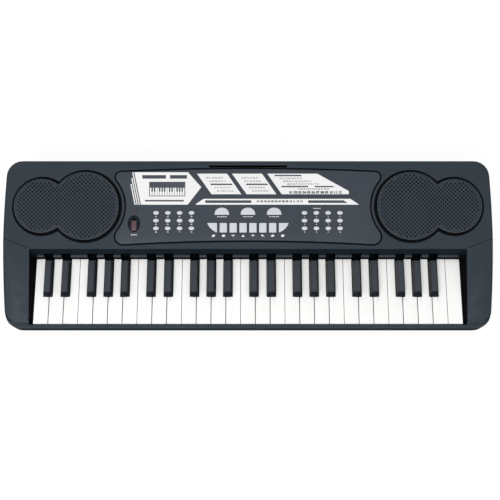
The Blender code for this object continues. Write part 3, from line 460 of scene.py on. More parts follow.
patterns = {note: whitePattern(f"white_key_{note}2", "pattern_" + note) for note in "cdefgab"}
topPattern = whitePattern("white_key_c6", "pattern_top_c")
sharpPattern = cadCopy("black_key_cs2", "pattern_black")
roundKey(sharpPattern, sharpLook)
for octave in range(2, 6):
    for i, note in enumerate("cdefgab"):
        octaveStart = (octave - 2) * 7 * keyLook["pitch"]
        whiteKey(patterns[note], f"white_key_{note}{octave}", octaveStart)
        sharp = note + "s"
        if sharp in sharpLook["offsets"]:
            offset = sharpLook["offsets"][sharp] - sharpLook["offsets"]["cs"]
            blackKey(sharpPattern, f"black_key_{sharp}{octave}", octaveStart + i * keyLook["pitch"] + offset)
whiteKey(topPattern, "white_key_c6", 0)
for pattern in (*patterns.values(), topPattern, sharpPattern):
    scrap(pattern)
print("49 keys rounded")

# casing: where its pods, its key bed, the insert's seat and its outer walls lie
podLook = {"x": 0.2434, "v": 0.0640, "spacing": 0.0646, "bigRadius": 0.0509, "smallRadius": 0.0406,
           "rise": 0.006, "border": 0.0018, "recess": 0.0012, "wallLow": -0.0015, "wallOut": 0.0030,
           "wallIn": 0.0012, "seatOut": 0.0063}
bedLook = {"half": 0.3258, "sideFrom": 0.3220, "sideRear": -0.0095, "front": -0.0186, "curtain": -0.0182,
           "rear": -0.0094, "top": 0.0560, "ledge": 0.0345}
seatLook = {"half": 0.24, "lowV": 0.004, "highV": 0.1266, "floor": -0.0022, "slotV": 0.1219,
            "slotFloor": -0.0140, "top": -0.0001}
wallLook = {"rear": 0.1190, "side": 0.3500, "front": -0.1225, "feet": 0.0029}


def overGrille(point, margin=0.0):
    # true where a point lies over the perforated field of either grille
    local = panelFrameBack @ point
    x, v = abs(local.x) - podLook["x"], local.y - podLook["v"]
    big = podLook["bigRadius"] - podLook["border"] - margin
    small = podLook["smallRadius"] - podLook["border"] - margin
    return math.hypot(x, v) < big or math.hypot(x - podLook["spacing"], v) < small


# painted shade: the floor under the grille's holes is black, for the shade behind them
def isGrilleFloor(centre, normal):
    height = (panelFrameBack @ centre).z - podLook["rise"] + podLook["recess"]
    return abs(height) < 2e-5 and normal.z > 0.9 and overGrille(centre, -0.001)


# painted shade: the pods' walls are black, for the dark band round them
def isPodWall(centre, normal):
    height = (panelFrameBack @ centre).z
    upright = abs(normal.dot(panelOut)) < 0.5 and podLook["wallLow"] < height < podLook["rise"]
    return upright and overGrille(centre, -podLook["wallOut"]) and not overGrille(centre, podLook["wallIn"])


def isPodRim(centre, normal):
    depth = podLook["rise"] - (panelFrameBack @ centre).z
    return 0.0001 < depth < 0.0008 and 0.4 < normal.z < 0.95


def isPanelSeat(centre, normal):
    # the floor and walls of the recess round the insert, and the music rest's slot, painted black as shade
    local = panelFrameBack @ centre
    low = seatLook["floor"] if local.y < seatLook["slotV"] else seatLook["slotFloor"]
    inside = abs(local.x) < seatLook["half"] and seatLook["lowV"] < local.y < seatLook["highV"]
    return inside and low < local.z < seatLook["top"] and not overGrille(centre, -podLook["seatOut"])


def isBedWall(centre, normal):
    # the bevel behind the key bed and the curtain under it, which get painted shade
    inside = abs(centre.x) < bedLook["half"] and bedLook["front"] < centre.y < bedLook["rear"]
    return inside and normal.y < -0.4


# painted shade: the curtain under the panel is black
def isCurtain(centre, normal):
    return isBedWall(centre, normal) and centre.y < bedLook["curtain"] and normal.y < -0.9


# painted shade: the key bed's side walls and ledges are black
def isBedSide(centre, normal):
    across = bedLook["sideFrom"] < abs(centre.x) < bedLook["half"] and centre.y < bedLook["sideRear"]
    return across and centre.z < bedLook["top"] and (normal.z < 0.97 or centre.z < bedLook["ledge"])


def isOutside(centre):
    # the rear wall and both side walls
    return centre.y > wallLook["rear"] or abs(centre.x) > wallLook["side"]


upperShell = cadCopy("upper_case", "upperShell")
softEdges(upperShell, 32)
dress(upperShell, "case", "casing", made["casing"], made["shadeBlack"], made["darkShadeAndBezel"], made["caseSideShade"],
      made["podRimHighlight"], made["caseWallLight"])
# painted highlight on the pods' chamfer
paintFaces(upperShell, 4, isPodRim)
# painted shade on the roundings of the rear and side walls
paintFaces(upperShell, 3, lambda centre, normal: normal.z < 0.80 and isOutside(centre))
# painted light on the steep rear and side walls
paintFaces(upperShell, 5, lambda centre, normal: normal.z < 0.35 and isOutside(centre))
# painted shade on the bevel behind the key bed
paintFaces(upperShell, 2, isBedWall)
# painted shade, black: the floor under the grille's holes, the pods' walls, the insert's seat, the key bed's
# sides and the curtain
for isBlack in (isGrilleFloor, isPodWall, isPanelSeat, isBedSide, isCurtain):
    paintFaces(upperShell, 1, isBlack)
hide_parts("upper_case")

# a black stop at each end of the strip behind the keys
stopLook = {"inner": 0.3160, "outer": 0.3254, "front": -0.0184, "rear": -0.0153, "low": 0.0417,
            "high": 0.0427}


def bedStop(side):
    left, right = sorted((side * stopLook["inner"], side * stopLook["outer"]))
    outline = bar(left, right, stopLook["front"], stopLook["rear"])
    return plate("stop", outline, stopLook["low"], stopLook["high"])


stops = joinAll("bedStops", [bedStop(side) for side in (-1, 1)])
dress(stops, "case", None, made["shadeBlack"])

# the lower shell gets a well under each boss, with a screw in it
screwLook = {"well": 0.0030, "depth": 0.0040, "top": 0.0070, "head": 0.0025, "thickness": 0.0013,
             "round": 0.0004, "cross": (0.0007, 0.0032, 0.0014)}
screwPlaces = [(side * x, y) for side in (-1, 1) for x, y in (
    (0.34575, -0.0707), (0.34575, 0.10068), (0.1860, 0.07568), (0.1050, 0.11068))]
socketLook = {"z": 0.0125, "rear": 0.12348, "pin": 0.0012, "bush": 0.0022, "inset": 0.0014, "wall": 0.0004,
              "places": {"adaptor": (-0.300, 0.0030), "phones": (-0.276, 0.0018)}}


def cutAway(piece, cutter, operation="DIFFERENCE"):
    useModifier(piece, "BOOLEAN", object=cutter, operation=operation, solver="EXACT")
    scrap(cutter)


def screwWell(x, y):
    letGo()
    bpy.ops.mesh.primitive_cylinder_add(vertices=20, radius=screwLook["well"], depth=2 * screwLook["depth"],
                                        location=(x, y, screwLook["top"] - screwLook["depth"]))
    return settled("well")


def isAdaptorPin(centre, normal):
    x = socketLook["places"]["adaptor"][0]
    return math.hypot(centre.x - x, centre.z - socketLook["z"]) < socketLook["pin"] and centre.y > 0.1


lowerShell = cadCopy("lower_case", "lowerShell")
cutAway(lowerShell, joinAll("wells", [screwWell(x, y) for x, y in screwPlaces]))
softEdges(lowerShell, 32)
dress(lowerShell, "case", "casing", made["casing"], made["rubber"], made["metal"], made["caseSideShade"],
      made["caseWallLight"])
# painted shade on the lower shell's front wall
paintFaces(lowerShell, 3, lambda centre, normal: abs(normal.z) < 0.5 and centre.y < wallLook["front"])
# painted light on the lower shell's rear and side walls
paintFaces(lowerShell, 4, lambda centre, normal: abs(normal.z) < 0.5 and isOutside(centre))
paintFaces(lowerShell, 1, lambda centre, normal: centre.z < wallLook["feet"])
paintFaces(lowerShell, 2, isAdaptorPin)
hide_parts("lower_case")


def screwHead():
    # a flat head with a cross cut in it, seen from below
    underside = screwLook["top"] - screwLook["thickness"]
    letGo()
    bpy.ops.mesh.primitive_cylinder_add(vertices=20, radius=screwLook["head"], depth=screwLook["thickness"],
                                        location=(0, 0, screwLook["top"] - screwLook["thickness"] / 2))
    head = settled("screwHead")
    roundEdges(head, screwLook["round"], 2, lambda a, b: max(a.z, b.z) < underside + 0.0001)
    width, length, depth = screwLook["cross"]
    for scale in ((width, length, depth), (length, width, depth)):
        letGo()
        bpy.ops.mesh.primitive_cube_add(size=1, location=(0, 0, underside))
        cutAway(head, settled("cutter", scale))
    return head


head = screwHead()
screws = joinAll("caseScrews", [copyOf(head, "screw", (x, y, 0)) for x, y in screwPlaces])
scrap(head)
softEdges(screws, 40)
dress(screws, "case", None, made["metal"])

# a bright bush lines each socket at the rear
for name, (x, radius) in socketLook["places"].items():
    letGo()
    bpy.ops.mesh.primitive_cylinder_add(
        vertices=24, radius=radius - 0.0001, depth=socketLook["bush"], end_fill_type="NOTHING",
        location=(x, socketLook["rear"] - socketLook["inset"], socketLook["z"]),
        rotation=(math.radians(90), 0, 0))
    bush = settled(name + "Bush")
    useModifier(bush, "SOLIDIFY", thickness=socketLook["wall"], offset=-1.0)
    softEdges(bush, 40)
    dress(bush, "case", None, made["metal"])
print("casing dressed,", len(screwPlaces), "screws")

# loudspeaker grilles: a perforated sheet in the field of each
grilleLook = {"pitch": 0.0061, "count": 34, "shift": 0.006, "hole": 0.00128, "sheet": 0.00085, "gap": 0.0004,
              "edge": 0.0007, "cutLow": 0.001, "cutHigh": 0.011}


def doubleDisc(side, grow, low, high):
    discs = []
    for x, radius in ((0, podLook["bigRadius"]), (podLook["spacing"], podLook["smallRadius"])):
        letGo()
        bpy.ops.mesh.primitive_cylinder_add(
            vertices=96, radius=radius + grow, depth=high - low,
            location=(side * (podLook["x"] + x), podLook["v"], (low + high) / 2))
        discs.append(settled("disc"))
    cutAway(discs[0], discs[1], "UNION")
    return discs[0]


def perforatedSheet(side):
    # a turned grid, whose inner points open into holes
    count = grilleLook["count"]
    letGo()
    bpy.ops.mesh.primitive_grid_add(
        x_subdivisions=count, y_subdivisions=count, size=grilleLook["pitch"] / math.sqrt(2) * count,
        location=(side * (podLook["x"] + podLook["spacing"] / 2 - grilleLook["shift"]), podLook["v"],
                  podLook["rise"] - podLook["recess"] + grilleLook["sheet"]),
        rotation=(0, 0, math.radians(45)))
    sheet = settled("grilleSheet_" + ("right" if side > 0 else "left"))
    margin = grilleLook["gap"] + grilleLook["edge"] + grilleLook["hole"]
    openMesh("VERT")
    closeMesh()
    for vertex in sheet.data.vertices:
        vertex.select = overGrille(panelFrame @ vertex.co, margin)
    bpy.ops.object.mode_set(mode="EDIT")
    bpy.ops.mesh.bevel(offset=grilleLook["hole"], segments=2, profile=0.0858, affect="VERTICES")
    closeMesh()
    openMesh("FACE")
    closeMesh()
    quarter = grilleLook["hole"] ** 2    # a hole is four small faces round its middle
    for face in sheet.data.polygons:
        face.select = face.area < quarter
    bpy.ops.object.mode_set(mode="EDIT")
    bpy.ops.mesh.delete(type="FACE")
    closeMesh()
    useModifier(sheet, "SOLIDIFY", thickness=grilleLook["sheet"], offset=-1.0)
    cutAway(sheet, doubleDisc(side, -podLook["border"] - grilleLook["gap"], grilleLook["cutLow"],
                              grilleLook["cutHigh"]), "INTERSECT")
    ontoPanel(sheet)
    softEdges(sheet, 40)
    dress(sheet, "case", "casing", made["casing"])


for side in (-1, 1):
    perforatedSheet(side)
print("grilles perforated")

# a black ring of painted shade fills the foot of the groove round each pod
podShadeLook = {"low": -0.00135, "high": -0.0006, "grow": 0.0040}
for side in (-1, 1):
    podShadeRing = doubleDisc(side, podShadeLook["grow"], podShadeLook["low"], podShadeLook["high"])
    cutAway(podShadeRing, doubleDisc(side, -0.0002, podShadeLook["low"] - 0.001, podShadeLook["high"] + 0.001))
    podShadeRing.name = "podShadeRing_" + ("right" if side > 0 else "left")
    fitTrim(podShadeRing, "case", "shadeBlack", 40)
print("podShadeRings laid")

# control panel: its rim is bevelled, and the holes' walls, the rim's bevel and the switch's dish get painted
# shade
insertLook = {"innerX": 0.1805, "innerLow": 0.0145, "innerHigh": 0.1100, "bevel": 0.0010, "wallLow": -0.0012,
              "dishTop": 0.0003}
panelPiece = cadCopy("control_panel", "panelInsert")


def onInsertRim(*points):
    # true where every point lies on the rim of the insert's face, away from its holes
    for point in points:
        local = panelFrameBack @ point
        inner = (abs(local.x) < insertLook["innerX"]
                 and insertLook["innerLow"] < local.y < insertLook["innerHigh"])
        if inner or abs(local.z - panelFace) > 1e-5:
            return False
    return True


roundEdges(panelPiece, insertLook["bevel"], 1, onInsertRim)
softEdges(panelPiece, 32)
dress(panelPiece, "case", "panel", made["panel"], made["darkShadeAndBezel"], made["shadeBlack"])
# painted shade, black: the rim's bevel and the walls of its holes
paintFaces(panelPiece, 2, lambda centre, normal: normal.dot(panelOut) < 0.995
           and (panelFrameBack @ centre).z > insertLook["wallLow"])
# painted shade on the switch's dish
paintFaces(panelPiece, 1, lambda centre, normal: (panelFrameBack @ centre).z < insertLook["dishTop"])
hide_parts("control_panel")

buttonLook = {"ovalWidth": 0.0088, "ovalHeight": 0.0059, "firstX": 0.0843, "columnPitch": 0.01765,
              "rowPitch": 0.01165, "middleV": 0.0424, "proud": 0.0023, "round": 0.0006, "crown": 0.00035,
              "crownInset": 0.0006, "matLow": -0.0026, "matHigh": -0.0014, "matMargin": 0.003,
              "matRound": 0.0003}


def flatCap(outline, drop):
    # a button: extruded outline with a rounded rim, so far below the full height
    foot = (buttonLook["matLow"] + buttonLook["matHigh"]) / 2
    return plate("cap", outline, foot, buttonLook["proud"] - drop, buttonLook["round"], 3)


def crownedCap(outline):
    # its top then rises in two steps to a slight crown, which would fold over itself in a sharp tip
    cap = flatCap(outline, buttonLook["crown"])
    pickFaces(cap, lambda centre, normal: centre.z > buttonLook["proud"] - buttonLook["crown"] - 1e-6)
    for share in (0.7, 0.3):
        bpy.ops.mesh.inset(thickness=buttonLook["crownInset"], depth=buttonLook["crown"] * share)
    closeMesh()
    return cap


def mat(outlines):
    xs = [x for outline in outlines for x, v in outline]
    vs = [v for outline in outlines for x, v in outline]
    margin = buttonLook["matMargin"]
    corners = bar(min(xs) - margin, max(xs) + margin, min(vs) - margin, max(vs) + margin)
    return plate("mat", corners, buttonLook["matLow"], buttonLook["matHigh"], buttonLook["matRound"])


def keypad(name, nodeName, crowned, flat=()):
    caps = [crownedCap(outline) for outline in crowned]
    caps += [flatCap(outline, buttonLook["crown"] / 2) for outline in flat]
    pad = joinAll(name, [mat([*crowned, *flat]), *caps])
    ontoPanel(pad)
    softEdges(pad, 40)
    dress(pad, nodeName, "button", made["button"], made["rubber"])
    # painted shade: the mat round the caps is dark, so the gaps round them read dark
    paintFaces(pad, 1, lambda centre, normal: (panelFrameBack @ centre).z < buttonLook["matHigh"] + 1e-5)
    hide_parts(nodeName)


def ovalOutline(x, v, steps=28):
    turns = [2 * math.pi * i / steps for i in range(steps)]
    return [(x + buttonLook["ovalWidth"] / 2 * math.cos(t), v + buttonLook["ovalHeight"] / 2 * math.sin(t))
            for t in turns]


def ovalPlaces(side):
    return [(side * (buttonLook["firstX"] + column * buttonLook["columnPitch"]),
             buttonLook["middleV"] + (row - 1) * buttonLook["rowPitch"])
            for row in range(3) for column in range(4)]


moonLook = {"pitch": 0.039, "width": 0.022, "height": 0.011, "lowV": 0.051, "fullness": 0.8}
padLook = {"lowV": 0.0244, "height": 0.0145, "pitch": 0.0147, "gap": 0.0036, "endWidth": 0.0149,
           "fullness": 1.4}


def moonOutline(x, steps=24):
    turns = [math.pi * i / steps for i in range(steps + 1)]
    return [(x + moonLook["width"] / 2 * math.cos(t),
             moonLook["lowV"] + moonLook["height"] * max(math.sin(t), 0) ** moonLook["fullness"])
            for t in turns]


def padOutlines():
    # six square pads, and a quarter-round one for each end
    low, high = padLook["lowV"], padLook["lowV"] + padLook["height"]
    half = (padLook["pitch"] - padLook["gap"]) / 2
    outlines = []
    for i in range(-3, 3):
        x = (i + 0.5) * padLook["pitch"]
        outlines.append(bar(x - half, x + half, low, high))
    inner = 3 * padLook["pitch"] + padLook["gap"] / 2
    turns = [0, *[math.radians(15 + 7.5 * i) for i in range(9)], math.pi / 2]
    end = [(inner + padLook["endWidth"] * math.sin(t) ** padLook["fullness"],
            high - padLook["height"] * max(math.cos(t), 0) ** padLook["fullness"]) for t in turns]
    end.append((inner, high))
    return outlines, [end, [(-x, v) for x, v in end[::-1]]]


keypad("keypadLeft", "keypad_left", [ovalOutline(x, v) for x, v in ovalPlaces(-1)])
keypad("keypadRight", "keypad_right", [ovalOutline(x, v) for x, v in ovalPlaces(1)])
squarePads, endPads = padOutlines()
moons = [moonOutline(i * moonLook["pitch"]) for i in (-1, 0, 1)]
keypad("keypadCentre", "keypad_centre", moons + squarePads, endPads)

# the switch, with light pips on its knob and an indicator lamp above it; a pip, the bezel and the lens
# each give their radius, their foot and top over the face that they stand on, and their rounding
switchLook = {"x": -0.1700, "v": 0.0348, "top": 0.0020, "round": 0.0004, "pips": 4, "pipPitch": 0.0034,
              "pip": (0.00065, -0.0003, 0.00025, 0.0002)}
lampLook = {"x": -0.1680, "v": 0.0574, "bezel": (0.0020, -0.0002, 0.0003, 0.0002),
            "lens": (0.0013, 0.0, 0.0009, 0.0007)}
switchKnob = cadCopy("power_switch", "switchKnob")
useModifier(switchKnob, "BEVEL", width=switchLook["round"], segments=2, limit_method="ANGLE")
softEdges(switchKnob, 40)
dress(switchKnob, "power_switch", "switch", made["switch"])
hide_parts("power_switch")


def roundBoss(name, x, v, face, shape, steps=24):
    radius, low, high, rounding = shape
    turns = [2 * math.pi * i / steps for i in range(steps)]
    outline = [(x + radius * math.cos(t), v + radius * math.sin(t)) for t in turns]
    return plate(name, outline, face + low, face + high, rounding, 3)


def switchPip(i):
    v = switchLook["v"] + (i - (switchLook["pips"] - 1) / 2) * switchLook["pipPitch"]
    return roundBoss("pip", switchLook["x"], v, switchLook["top"], switchLook["pip"], 10)


pips = joinAll("switchPips", [switchPip(i) for i in range(switchLook["pips"])])
fitTrim(pips, "power_switch", "greyInk")
bezel = roundBoss("lampBezel", lampLook["x"], lampLook["v"], panelFace, lampLook["bezel"])
fitTrim(bezel, "case", "darkShadeAndBezel")
lens = roundBoss("lampLens", lampLook["x"], lampLook["v"], panelFace, lampLook["lens"])
fitTrim(lens, "case", "lampLens", 60)
print("panel, buttons and switch in place")

# printed legend: thin layers of ink, each from one height over the panel's plane to another
inkLook = {"white": (panelFace, panelFace + 0.00006), "over": (panelFace + 0.00006, panelFace + 0.00011),
           "top": (panelFace + 0.00011, panelFace + 0.00016), "seam": (0.0, 0.00006)}


def printInk(name, pieces, finishName):
    layer = joinAll(name, pieces)
    ontoPanel(layer)
    dress(layer, "case", None, made[finishName])


def inkLayer(name, outlines, finishName, level="white"):
    printInk(name, [plate("ink", outline, *inkLook[level]) for outline in outlines], finishName)


def marks(x0, x1, v, count, width, height):
    # a row of small plain dashes between two places
    step = (x1 - x0) / (count - 1)
    return [bar(x0 + i * step - width / 2, x0 + i * step + width / 2, v - height / 2, v + height / 2)
            for i in range(count)]


def numbers(text, x, v, size=0.0034, weight=0.00006, level="white"):
    # plain figures as a thin closed layer, in the panel's own frame
    low, high = inkLook[level]
    letGo()
    bpy.ops.object.text_add(location=(0, 0, 0))
    row = newest("numbers")
    row.data.body = text
    row.data.size = size
    row.data.align_x = row.data.align_y = "CENTER"
    row.data.resolution_u = 2
    row.data.offset = weight
    row.data.extrude = (high - low) / 2
    bpy.ops.object.convert(target="MESH")
    openMesh("VERT", True)
    bpy.ops.mesh.remove_doubles(threshold=4e-6)
    bpy.ops.mesh.dissolve_degenerate(threshold=2e-6)
    closeMesh()
    row.data.transform(Matrix.Translation((x, v, (low + high) / 2)))
    return row


def inkNumbers(name, rows, finishName, level="white"):
    printInk(name, [numbers(*row, level=level) for row in rows], finishName)


def counted(first, count):
    return " ".join(f"{first + i:02d}" for i in range(count))


# white plates, all with slanted ends, and a long strip under them
legendLook = {
    "plates": [
        [(-0.1600, 0.0664), (-0.0900, 0.0664), (-0.0700, 0.0930), (-0.0900, 0.1156), (-0.1705, 0.1156)],
        [(-0.0545, 0.0822), (-0.0100, 0.0822), (-0.0315, 0.1134), (-0.0765, 0.1134)],
        [(-0.0020, 0.0822), (0.0425, 0.0822), (0.0210, 0.1134), (-0.0240, 0.1134)],
        [(0.0505, 0.0822), (0.1508, 0.0822), (0.1508, 0.0870), (0.1040, 0.1134), (0.0290, 0.1134)],
        [(-0.0790, 0.0664), (0.1661, 0.0664), (0.1530, 0.0752), (-0.0665, 0.0752)],
    ],
    "darkBars": [
        bar(-0.1580, -0.1230, 0.1058, 0.1112, -0.0011), bar(-0.1170, -0.0915, 0.1058, 0.1112),
        bar(-0.1540, -0.0960, 0.0712, 0.0735), bar(-0.0640, 0.0050, 0.0690, 0.0730),
        bar(0.0900, 0.1490, 0.0690, 0.0730, 0.0, -0.0060),
        bar(-0.0560, -0.0230, 0.0961, 0.0983, 0.0, -0.0015),
        bar(-0.0030, 0.0300, 0.0961, 0.0983, 0.0, -0.0015), bar(0.0400, 0.0800, 0.1096, 0.1116),
        bar(0.0500, 0.0900, 0.0928, 0.0948), bar(0.1000, 0.1300, 0.0928, 0.0948, 0.0, -0.0035),
    ],
    "stripes": [bar(x, x + 0.0017, 0.0664, high, lean, lean) for x, high, lean in (
        (-0.1632, 0.1156, -0.0105), (-0.1664, 0.1066, -0.0085), (-0.1696, 0.0976, -0.0065))],
}
inkLayer("legendWhite", legendLook["plates"] + legendLook["stripes"], "ink")
inkLayer("legendDark", legendLook["darkBars"], "darkInk", "over")

# a small keyboard in outline on the first plate
pictogram = {"x0": -0.1480, "x1": -0.0940, "v0": 0.0790, "v1": 0.1010, "keys": 14, "edge": 0.0008,
             "gap": 0.0003, "sharpGap": 0.0011, "keyLow": 0.0800, "keyMiddle": 0.0860, "keyHigh": 0.0920}
inkLayer("pictogramBase", [bar(pictogram["x0"], pictogram["x1"], pictogram["v0"], pictogram["v1"])],
         "darkInk", "over")
keyStep = (pictogram["x1"] - pictogram["x0"] - 2 * pictogram["edge"]) / pictogram["keys"]
pictogramKeys = []
for i in range(pictogram["keys"]):
    x0 = pictogram["x0"] + pictogram["edge"] + i * keyStep
    x1, gap = x0 + keyStep, pictogram["gap"]
    pictogramKeys.append(bar(x0 + gap, x1 - gap, pictogram["keyLow"], pictogram["keyMiddle"]))
    leftGap = gap if i % 7 in (0, 3) else pictogram["sharpGap"]
    rightGap = gap if i % 7 in (2, 6) else pictogram["sharpGap"]
    pictogramKeys.append(bar(x0 + leftGap, x1 - rightGap, pictogram["keyMiddle"], pictogram["keyHigh"]))
inkLayer("pictogramKeys", pictogramKeys, "ink", "top")

# rows of plain figures: the first, how many, and where their middle is
figureRows = [(0, 6, -0.0500, 0.1070), (6, 6, -0.0455, 0.1018), (12, 6, -0.0390, 0.0922),
              (18, 6, -0.0345, 0.0872), (24, 6, 0.0025, 0.1070), (30, 6, 0.0065, 0.1018),
              (36, 6, 0.0135, 0.0922), (42, 6, 0.0180, 0.0872), (50, 8, 0.0640, 0.1062),
              (58, 10, 0.0740, 0.1018), (68, 11, 0.0820, 0.0974), (79, 11, 0.0980, 0.0900)]
inkNumbers("legendFigures", [(counted(first, count), x, v) for first, count, x, v in figureRows],
           "greyInk", "over")
inkNumbers("stripFigures", [(counted(1, 13), 0.0475, 0.0712, 0.0042, 0.00022),
                            (counted(1, 12), 0.1010, 0.0848, 0.0052, 0.00030)], "darkInk", "over")

# figures under the oval buttons, and dashes by the others
captionLook = {"drop": 0.0057, "size": 0.0026}
captions = []
for side, labels in ((-1, counted(1, 12).split()), (1, "1 2 3 4 5 6 7 8 9 0 11 12".split())):
    places = sorted(ovalPlaces(side), key=lambda place: (-place[1], place[0]))
    captions += [(label, x, v - captionLook["drop"], captionLook["size"])
                 for label, (x, v) in zip(labels, places)]
inkNumbers("buttonFigures", captions, "ink")
dashRows = [(x - 0.006, x + 0.006, 0.0482, 5, 0.0020, 0.0011)
            for x in (-moonLook["pitch"], 0, moonLook["pitch"])]
dashRows += [(-0.1735, -0.1665, 0.0210, 4, 0.0014, 0.0014), (0.0985, 0.1075, 0.0608, 5, 0.0014, 0.0011)]
inkLayer("legendMarks", [dash for row in dashRows for dash in marks(*row)], "ink")


def ringOutline(width, height, x=0.0, v=0.0, lean=0.0):
    turns = [2 * math.pi * i / 16 for i in range(16)]
    return [(x + width / 2 * math.cos(t) + lean * math.sin(t), v + height / 2 * math.sin(t)) for t in turns]


# plain shapes under the pads, each drawn round its own middle
iconLook = {"v": 0.0196, "order": "drum block cymbal triangle cymbal shaker drum block".split()}
iconShapes = {
    "drum": [ringOutline(0.0046, 0.0034, lean=0.0008)],
    "block": [[(-0.0022, -0.0015), (0.0022, -0.0015), (0.0026, 0.0016), (-0.0018, 0.0016)]],
    "cymbal": [ringOutline(0.0056, 0.0012, v=0.0008), bar(-0.0003, 0.0003, -0.0020, 0.0002)],
    "triangle": [[(-0.0024, -0.0015), (0.0024, -0.0015), (0, 0.0019)]],
    "shaker": [ringOutline(0.0030, 0.0026, x=-0.0008, v=0.0006),
               [(0.0003, -0.0002), (0.0020, -0.0019), (0.0025, -0.0014), (0.0008, 0.0003)]],
}
inkLayer("padIcons", [[(x + (i - 3.5) * padLook["pitch"], v + iconLook["v"]) for x, v in shape]
                      for i, icon in enumerate(iconLook["order"]) for shape in iconShapes[icon]], "ink")

# fine seams on the casing, drawn as thin lines of painted shade: beside the insert's top, and where the
# cheeks fold down
seamLines = [[(0.1712, 0.1290), (0.1620, 0.1216), (0.1610, 0.1216), (0.1702, 0.1290)],
             [(0.3262, 0.0008), (0.3645, 0.0152), (0.3645, 0.0162), (0.3262, 0.0018)]]
inkLayer("caseSeamShade", [[(side * x, v) for x, v in line][::side] for side in (-1, 1) for line in seamLines],
         "darkShadeAndBezel", "seam")
print("legend printed")

# the inner CAD nodes keep their shape and get their finish
for nodeName in ("circuit_board", "speaker_left", "speaker_right"):
    node = nodes[nodeName]
    node.data.materials.clear()
    for finishName in ("board", "rubber") if nodeName == "circuit_board" else ("basket", "paper"):
        node.data.materials.append(made[finishName])
boardTop = 0.0117
paintFaces(nodes["circuit_board"], 1, lambda centre, normal: centre.z > boardTop)

# the battery door: rounded, with grip ridges and a plain arrow on its underside
doorLook = {"round": 0.0004, "face": 0.00315, "ridge": (0.030, 0.0009, 0.0014), "ridgeRound": 0.0003,
            "ridges": 6, "pitch": 0.0022, "y": 0.1000, "arrow": 0.0060, "arrowDepth": 0.0008,
            "arrowY": 0.0850}
door = cadCopy("battery_door", "batteryDoor")
useModifier(door, "BEVEL", width=doorLook["round"], segments=2, limit_method="ANGLE")
softEdges(door, 40)
dress(door, "battery_door", "casing", made["casing"])
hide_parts("battery_door")
ridges = []
for i in range(doorLook["ridges"]):
    letGo()
    bpy.ops.mesh.primitive_cube_add(
        size=1, location=(0, doorLook["y"] + i * doorLook["pitch"], doorLook["face"]))
    ridge = settled("ridge", doorLook["ridge"])
    roundEdges(ridge, doorLook["ridgeRound"], 2, lambda a, b: max(a.z, b.z) < doorLook["face"])
    ridges.append(ridge)
letGo()
bpy.ops.mesh.primitive_cylinder_add(vertices=3, radius=doorLook["arrow"], depth=doorLook["arrowDepth"],
                                    location=(0, doorLook["arrowY"], doorLook["face"]))
grip = joinAll("doorGrip", [*ridges, settled("arrow")])
softEdges(grip, 40)
dress(grip, "battery_door", None, made["casing"])

# contacts for two cells in a line, three rows deep: a plate at each end, a spring at every other one
contactLook = {"wall": 0.0539, "rows": (0.0615, 0.0787, 0.0959), "z": 0.0137,
               "plate": (0.0005, 0.0100, 0.0110), "round": 0.00015, "wire": 0.0004, "coil": 0.0030,
               "turns": 4, "pitch": 0.0016, "springFoot": 0.0009}


def contactPlate(side, y):
    letGo()
    bpy.ops.mesh.primitive_cube_add(size=1, location=(
        side * (contactLook["wall"] - contactLook["plate"][0] / 2), y, contactLook["z"]))
    contact = settled("contact", contactLook["plate"])
    useModifier(contact, "BEVEL", width=contactLook["round"], segments=1, limit_method="ANGLE")
    return contact


def contactSpring(side, y):
    # a wire's outline screwed upwards, closed at both ends and laid on its side
    letGo()
    bpy.ops.mesh.primitive_circle_add(vertices=8, radius=contactLook["wire"], fill_type="NGON",
                                      location=(contactLook["coil"], 0, 0), rotation=(math.radians(90), 0, 0))
    spring = settled("spring")
    useModifier(spring, "SCREW", angle=2 * math.pi, steps=20, render_steps=20,
                iterations=contactLook["turns"], screw_offset=contactLook["pitch"], axis="Z")
    foot = (side * (contactLook["wall"] - contactLook["springFoot"]), y, contactLook["z"])
    spring.data.transform(Matrix.Translation(foot) @ Matrix.Rotation(math.radians(-90 * side), 4, "Y"))
    pickUp(spring)
    openMesh("VERT")
    bpy.ops.mesh.select_non_manifold()
    bpy.ops.mesh.fill()
    bpy.ops.mesh.select_all(action="SELECT")
    bpy.ops.mesh.normals_make_consistent(inside=False)
    closeMesh()
    return spring


contacts = []
for side in (-1, 1):
    for row, y in enumerate(contactLook["rows"]):
        contacts.append(contactPlate(side, y))
        if (side > 0) == (row % 2 > 0):
            contacts.append(contactSpring(side, y))
contacts = joinAll("batteryContacts", contacts)
softEdges(contacts, 50)
dress(contacts, "case", None, made["metal"])
print("inner nodes and door dressed")

# floor, light and camera
stageLook = {"floor": 8.0, "paint": 0.16, "lift": 0.87, "horizon": 0.05, "ceiling": 1.15}


def seenDirectly(tree):
    # 1 for a look from the camera, straight or through a reflection, and 0 for light on its way to a piece
    rays = tree.nodes.new("ShaderNodeLightPath")
    seen = mathNode(tree, "MAXIMUM", rays.outputs["Is Camera Ray"], rays.outputs["Is Transmission Ray"])
    return mathNode(tree, "MAXIMUM", seen, rays.outputs["Is Glossy Ray"])


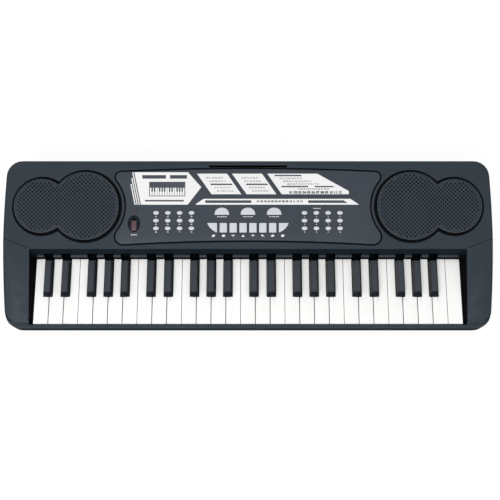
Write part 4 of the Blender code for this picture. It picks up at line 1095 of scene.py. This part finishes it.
letGo()
bpy.ops.mesh.primitive_plane_add(size=stageLook["floor"], location=(0, 0, 0))
floor = newest("floor")
floorPaint = bpy.data.materials.new("floorPaint")
floorPaint.use_nodes = True
floorTree = floorPaint.node_tree
floorShader = floorTree.nodes["Principled BSDF"]
floorShader.inputs["Base Color"].default_value = (*[stageLook["paint"]] * 3, 1)
floorShader.inputs["Roughness"].default_value = 0.9
floorShader.inputs["Specular IOR Level"].default_value = 0.0
floorShader.inputs["Emission Color"].default_value = (1, 1, 1, 1)
floorTree.links.new(mathNode(floorTree, "MULTIPLY", seenDirectly(floorTree), stageLook["lift"]),
                    floorShader.inputs["Emission Strength"])
floor.data.materials.append(floorPaint)

world = bpy.data.worlds.new("studio")
bpy.context.scene.world = world
world.use_nodes = True
worldTree = world.node_tree
background = worldTree.nodes["Background"]
background.inputs["Color"].default_value = (1, 1, 1, 1)
skyPlace = worldTree.nodes.new("ShaderNodeTexCoord")
skyParts = worldTree.nodes.new("ShaderNodeSeparateXYZ")
worldTree.links.new(skyPlace.outputs["Generated"], skyParts.inputs["Vector"])
sky = rangeNode(worldTree, skyParts.outputs["Z"], 0.0, 1.0, stageLook["horizon"], stageLook["ceiling"])
worldTree.links.new(mathNode(worldTree, "MAXIMUM", sky, seenDirectly(worldTree)),
                    background.inputs["Strength"])

frontLook = {"place": (-0.5, -1.5, 1.7), "size": 1.2, "power": 24.0}
light = bpy.data.lights.new("frontLamp", "AREA")
light.size = frontLook["size"]
light.energy = frontLook["power"]
frontLamp = bpy.data.objects.new("frontLamp", light)
bpy.context.scene.collection.objects.link(frontLamp)
frontLamp.location = frontLook["place"]
frontLamp.rotation_euler = (-frontLamp.location).to_track_quat("-Z", "Y").to_euler()

view = {"place": (0.0030, -0.3314, 1.2954), "tilt": 14.5, "lens": 62.0}
cameraData = bpy.data.cameras.new("camera")
cameraData.lens = view["lens"]
camera = bpy.data.objects.new("camera", cameraData)
bpy.context.scene.collection.objects.link(camera)
camera.location = view["place"]
camera.rotation_euler = (math.radians(view["tilt"]), 0, 0)
bpy.context.scene.camera = camera
bpy.context.scene.view_settings.view_transform = "Standard"
print("stage, lamp and camera set")
